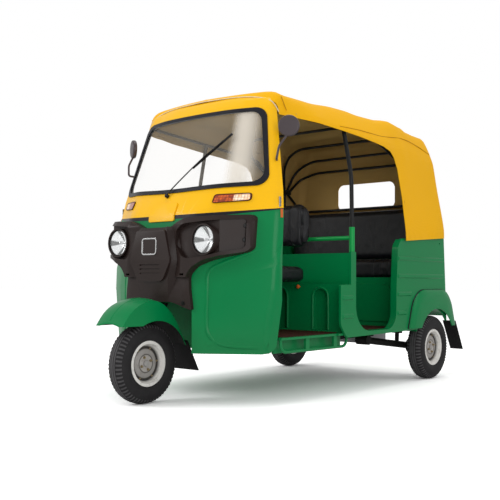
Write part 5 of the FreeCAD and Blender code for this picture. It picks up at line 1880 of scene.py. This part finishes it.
@dataclass
class Studio:
    """The pale floor, soft lamps and the camera."""

    eye: Point = (3.084, -3.8855, 0.634)
    azimuth: float = 40.187
    elevation: float = -2.251
    roll: float = 0.317
    focal_pixels: float = 793.9
    image_pixels: float = 500.0
    sensor: float = 36.0
    target: Point = (0.0, 0.0, 0.8)
    # name, place, size and power of each lamp
    lamps: tuple = (("lamp_left", (-3.2, -5.2, 3.4), 2.6, 125), ("lamp_right", (5.2, 1.6, 3.0), 2.8, 20),
                    ("lamp_top", (0.0, 0.5, 5.2), 3.0, 65), ("lamp_fill", (4.0, -3.0, 1.5), 2.4, 50))
    ambient: float = 0.66
    # what each kind of ray sees in place of the ambient light
    rays: tuple = (("Is Camera Ray", 1.0), ("Is Transmission Ray", 1.0), ("Is Glossy Ray", 0.62))
    # the floor's grey as the light that it throws back, and as the camera sees it
    floor_grey: float = 0.72
    floor_seen: float = 1.66

    def camera(self) -> None:
        """Stand the camera where the picture was taken from."""
        turn, rise, roll = (math.radians(part) for part in (self.azimuth, self.elevation, self.roll))
        back = Vector((math.sin(turn) * math.cos(rise), -math.cos(turn) * math.cos(rise),
                       math.sin(rise)))
        right = Vector((math.cos(turn), math.sin(turn), 0))
        up = back.cross(right)
        across = right * math.cos(roll) + up * math.sin(roll)
        upward = up * math.cos(roll) - right * math.sin(roll)
        data = bpy.data.cameras.new("camera")
        data.sensor_width = self.sensor
        data.lens = self.focal_pixels / self.image_pixels * self.sensor
        item = linked("camera", data)
        axes = Matrix((across, upward, back)).transposed().to_4x4()
        item.matrix_world = Matrix.Translation(self.eye) @ axes
        bpy.context.scene.camera = item

    def floor(self) -> None:
        """A wide pale floor that keeps the vehicle's soft shadow."""
        form = Form()
        bmesh.ops.create_grid(form.mesh, x_segments=1, y_segments=1, size=40.0)
        data = bpy.data.meshes.new("studio_floor")
        form.mesh.to_mesh(data)
        form.mesh.free()
        item = linked("studio_floor", data)
        made = Shader("studio_floor")
        made.tree.nodes.remove(made.surface)
        seen = made.node("ShaderNodeLightPath", None, None, "Is Camera Ray")
        plain, pale = (made.node("ShaderNodeBsdfDiffuse", None, {"Color": (grey, grey, grey, 1.0)})
                       for grey in (self.floor_grey, self.floor_seen))
        mixed = made.node("ShaderNodeMixShader", None, {0: seen, 1: plain, 2: pale})
        made.tree.links.new(mixed.socket, made.output.inputs[0])
        data.materials.append(made.material)

    def lamp(self, name: str, place: Point, size: float, power: float) -> None:
        """One soft square lamp aimed at the vehicle.

        Args:
            name: its name.
            place: where it hangs.
            size: its width.
            power: its power in watts.
        """
        data = bpy.data.lights.new(name, "AREA")
        data.size = size
        data.energy = power
        line = Vector(place) - Vector(self.target)
        turn = line.to_track_quat("Z", "Y").to_matrix().to_4x4()
        linked(name, data).matrix_world = Matrix.Translation(place) @ turn

    def world(self) -> None:
        """White to the camera and in reflections, and a plain soft light on the object."""
        world = bpy.data.worlds.new("studio")
        bpy.context.scene.world = world
        world.use_nodes = True
        tree = world.node_tree
        tree.nodes.clear()
        rays = tree.nodes.new("ShaderNodeLightPath")
        strength = None
        for output, share in self.rays:
            mixed = tree.nodes.new("ShaderNodeMix")
            mixed.inputs[2].default_value = self.ambient
            mixed.inputs[3].default_value = share
            tree.links.new(rays.outputs[output], mixed.inputs[0])
            if strength:
                tree.links.new(strength.outputs[0], mixed.inputs[2])
            strength = mixed
        ground = tree.nodes.new("ShaderNodeBackground")
        ground.inputs[0].default_value = (1, 1, 1, 1)
        tree.links.new(strength.outputs[0], ground.inputs[1])
        out = tree.nodes.new("ShaderNodeOutputWorld")
        tree.links.new(ground.outputs[0], out.inputs[0])

    def make(self) -> None:
        """Set the studio up."""
        self.camera()
        self.floor()
        self.world()
        for name, place, size, power in self.lamps:
            self.lamp(name, place, size, power)
        bpy.context.scene.view_settings.view_transform = "Standard"


def main() -> None:
    """Build the studio and every sub-assembly in order."""
    logging.basicConfig(level=logging.INFO, format="%(message)s")
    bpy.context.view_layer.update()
    Studio().make()
    Hood().make()
    Cab().make()
    Face().make()
    Body().make()
    Running().make()
    Steering().make()
    for place, x, y in (("front", 0.0, -1.0875), ("rear_left", 0.575, 0.9125),
                        ("rear_right", -0.575, 0.9125)):
        Wheel(place, x, y).make()
    Seats().make()
    bpy.context.view_layer.update()


if __name__ == "__main__":
    main()
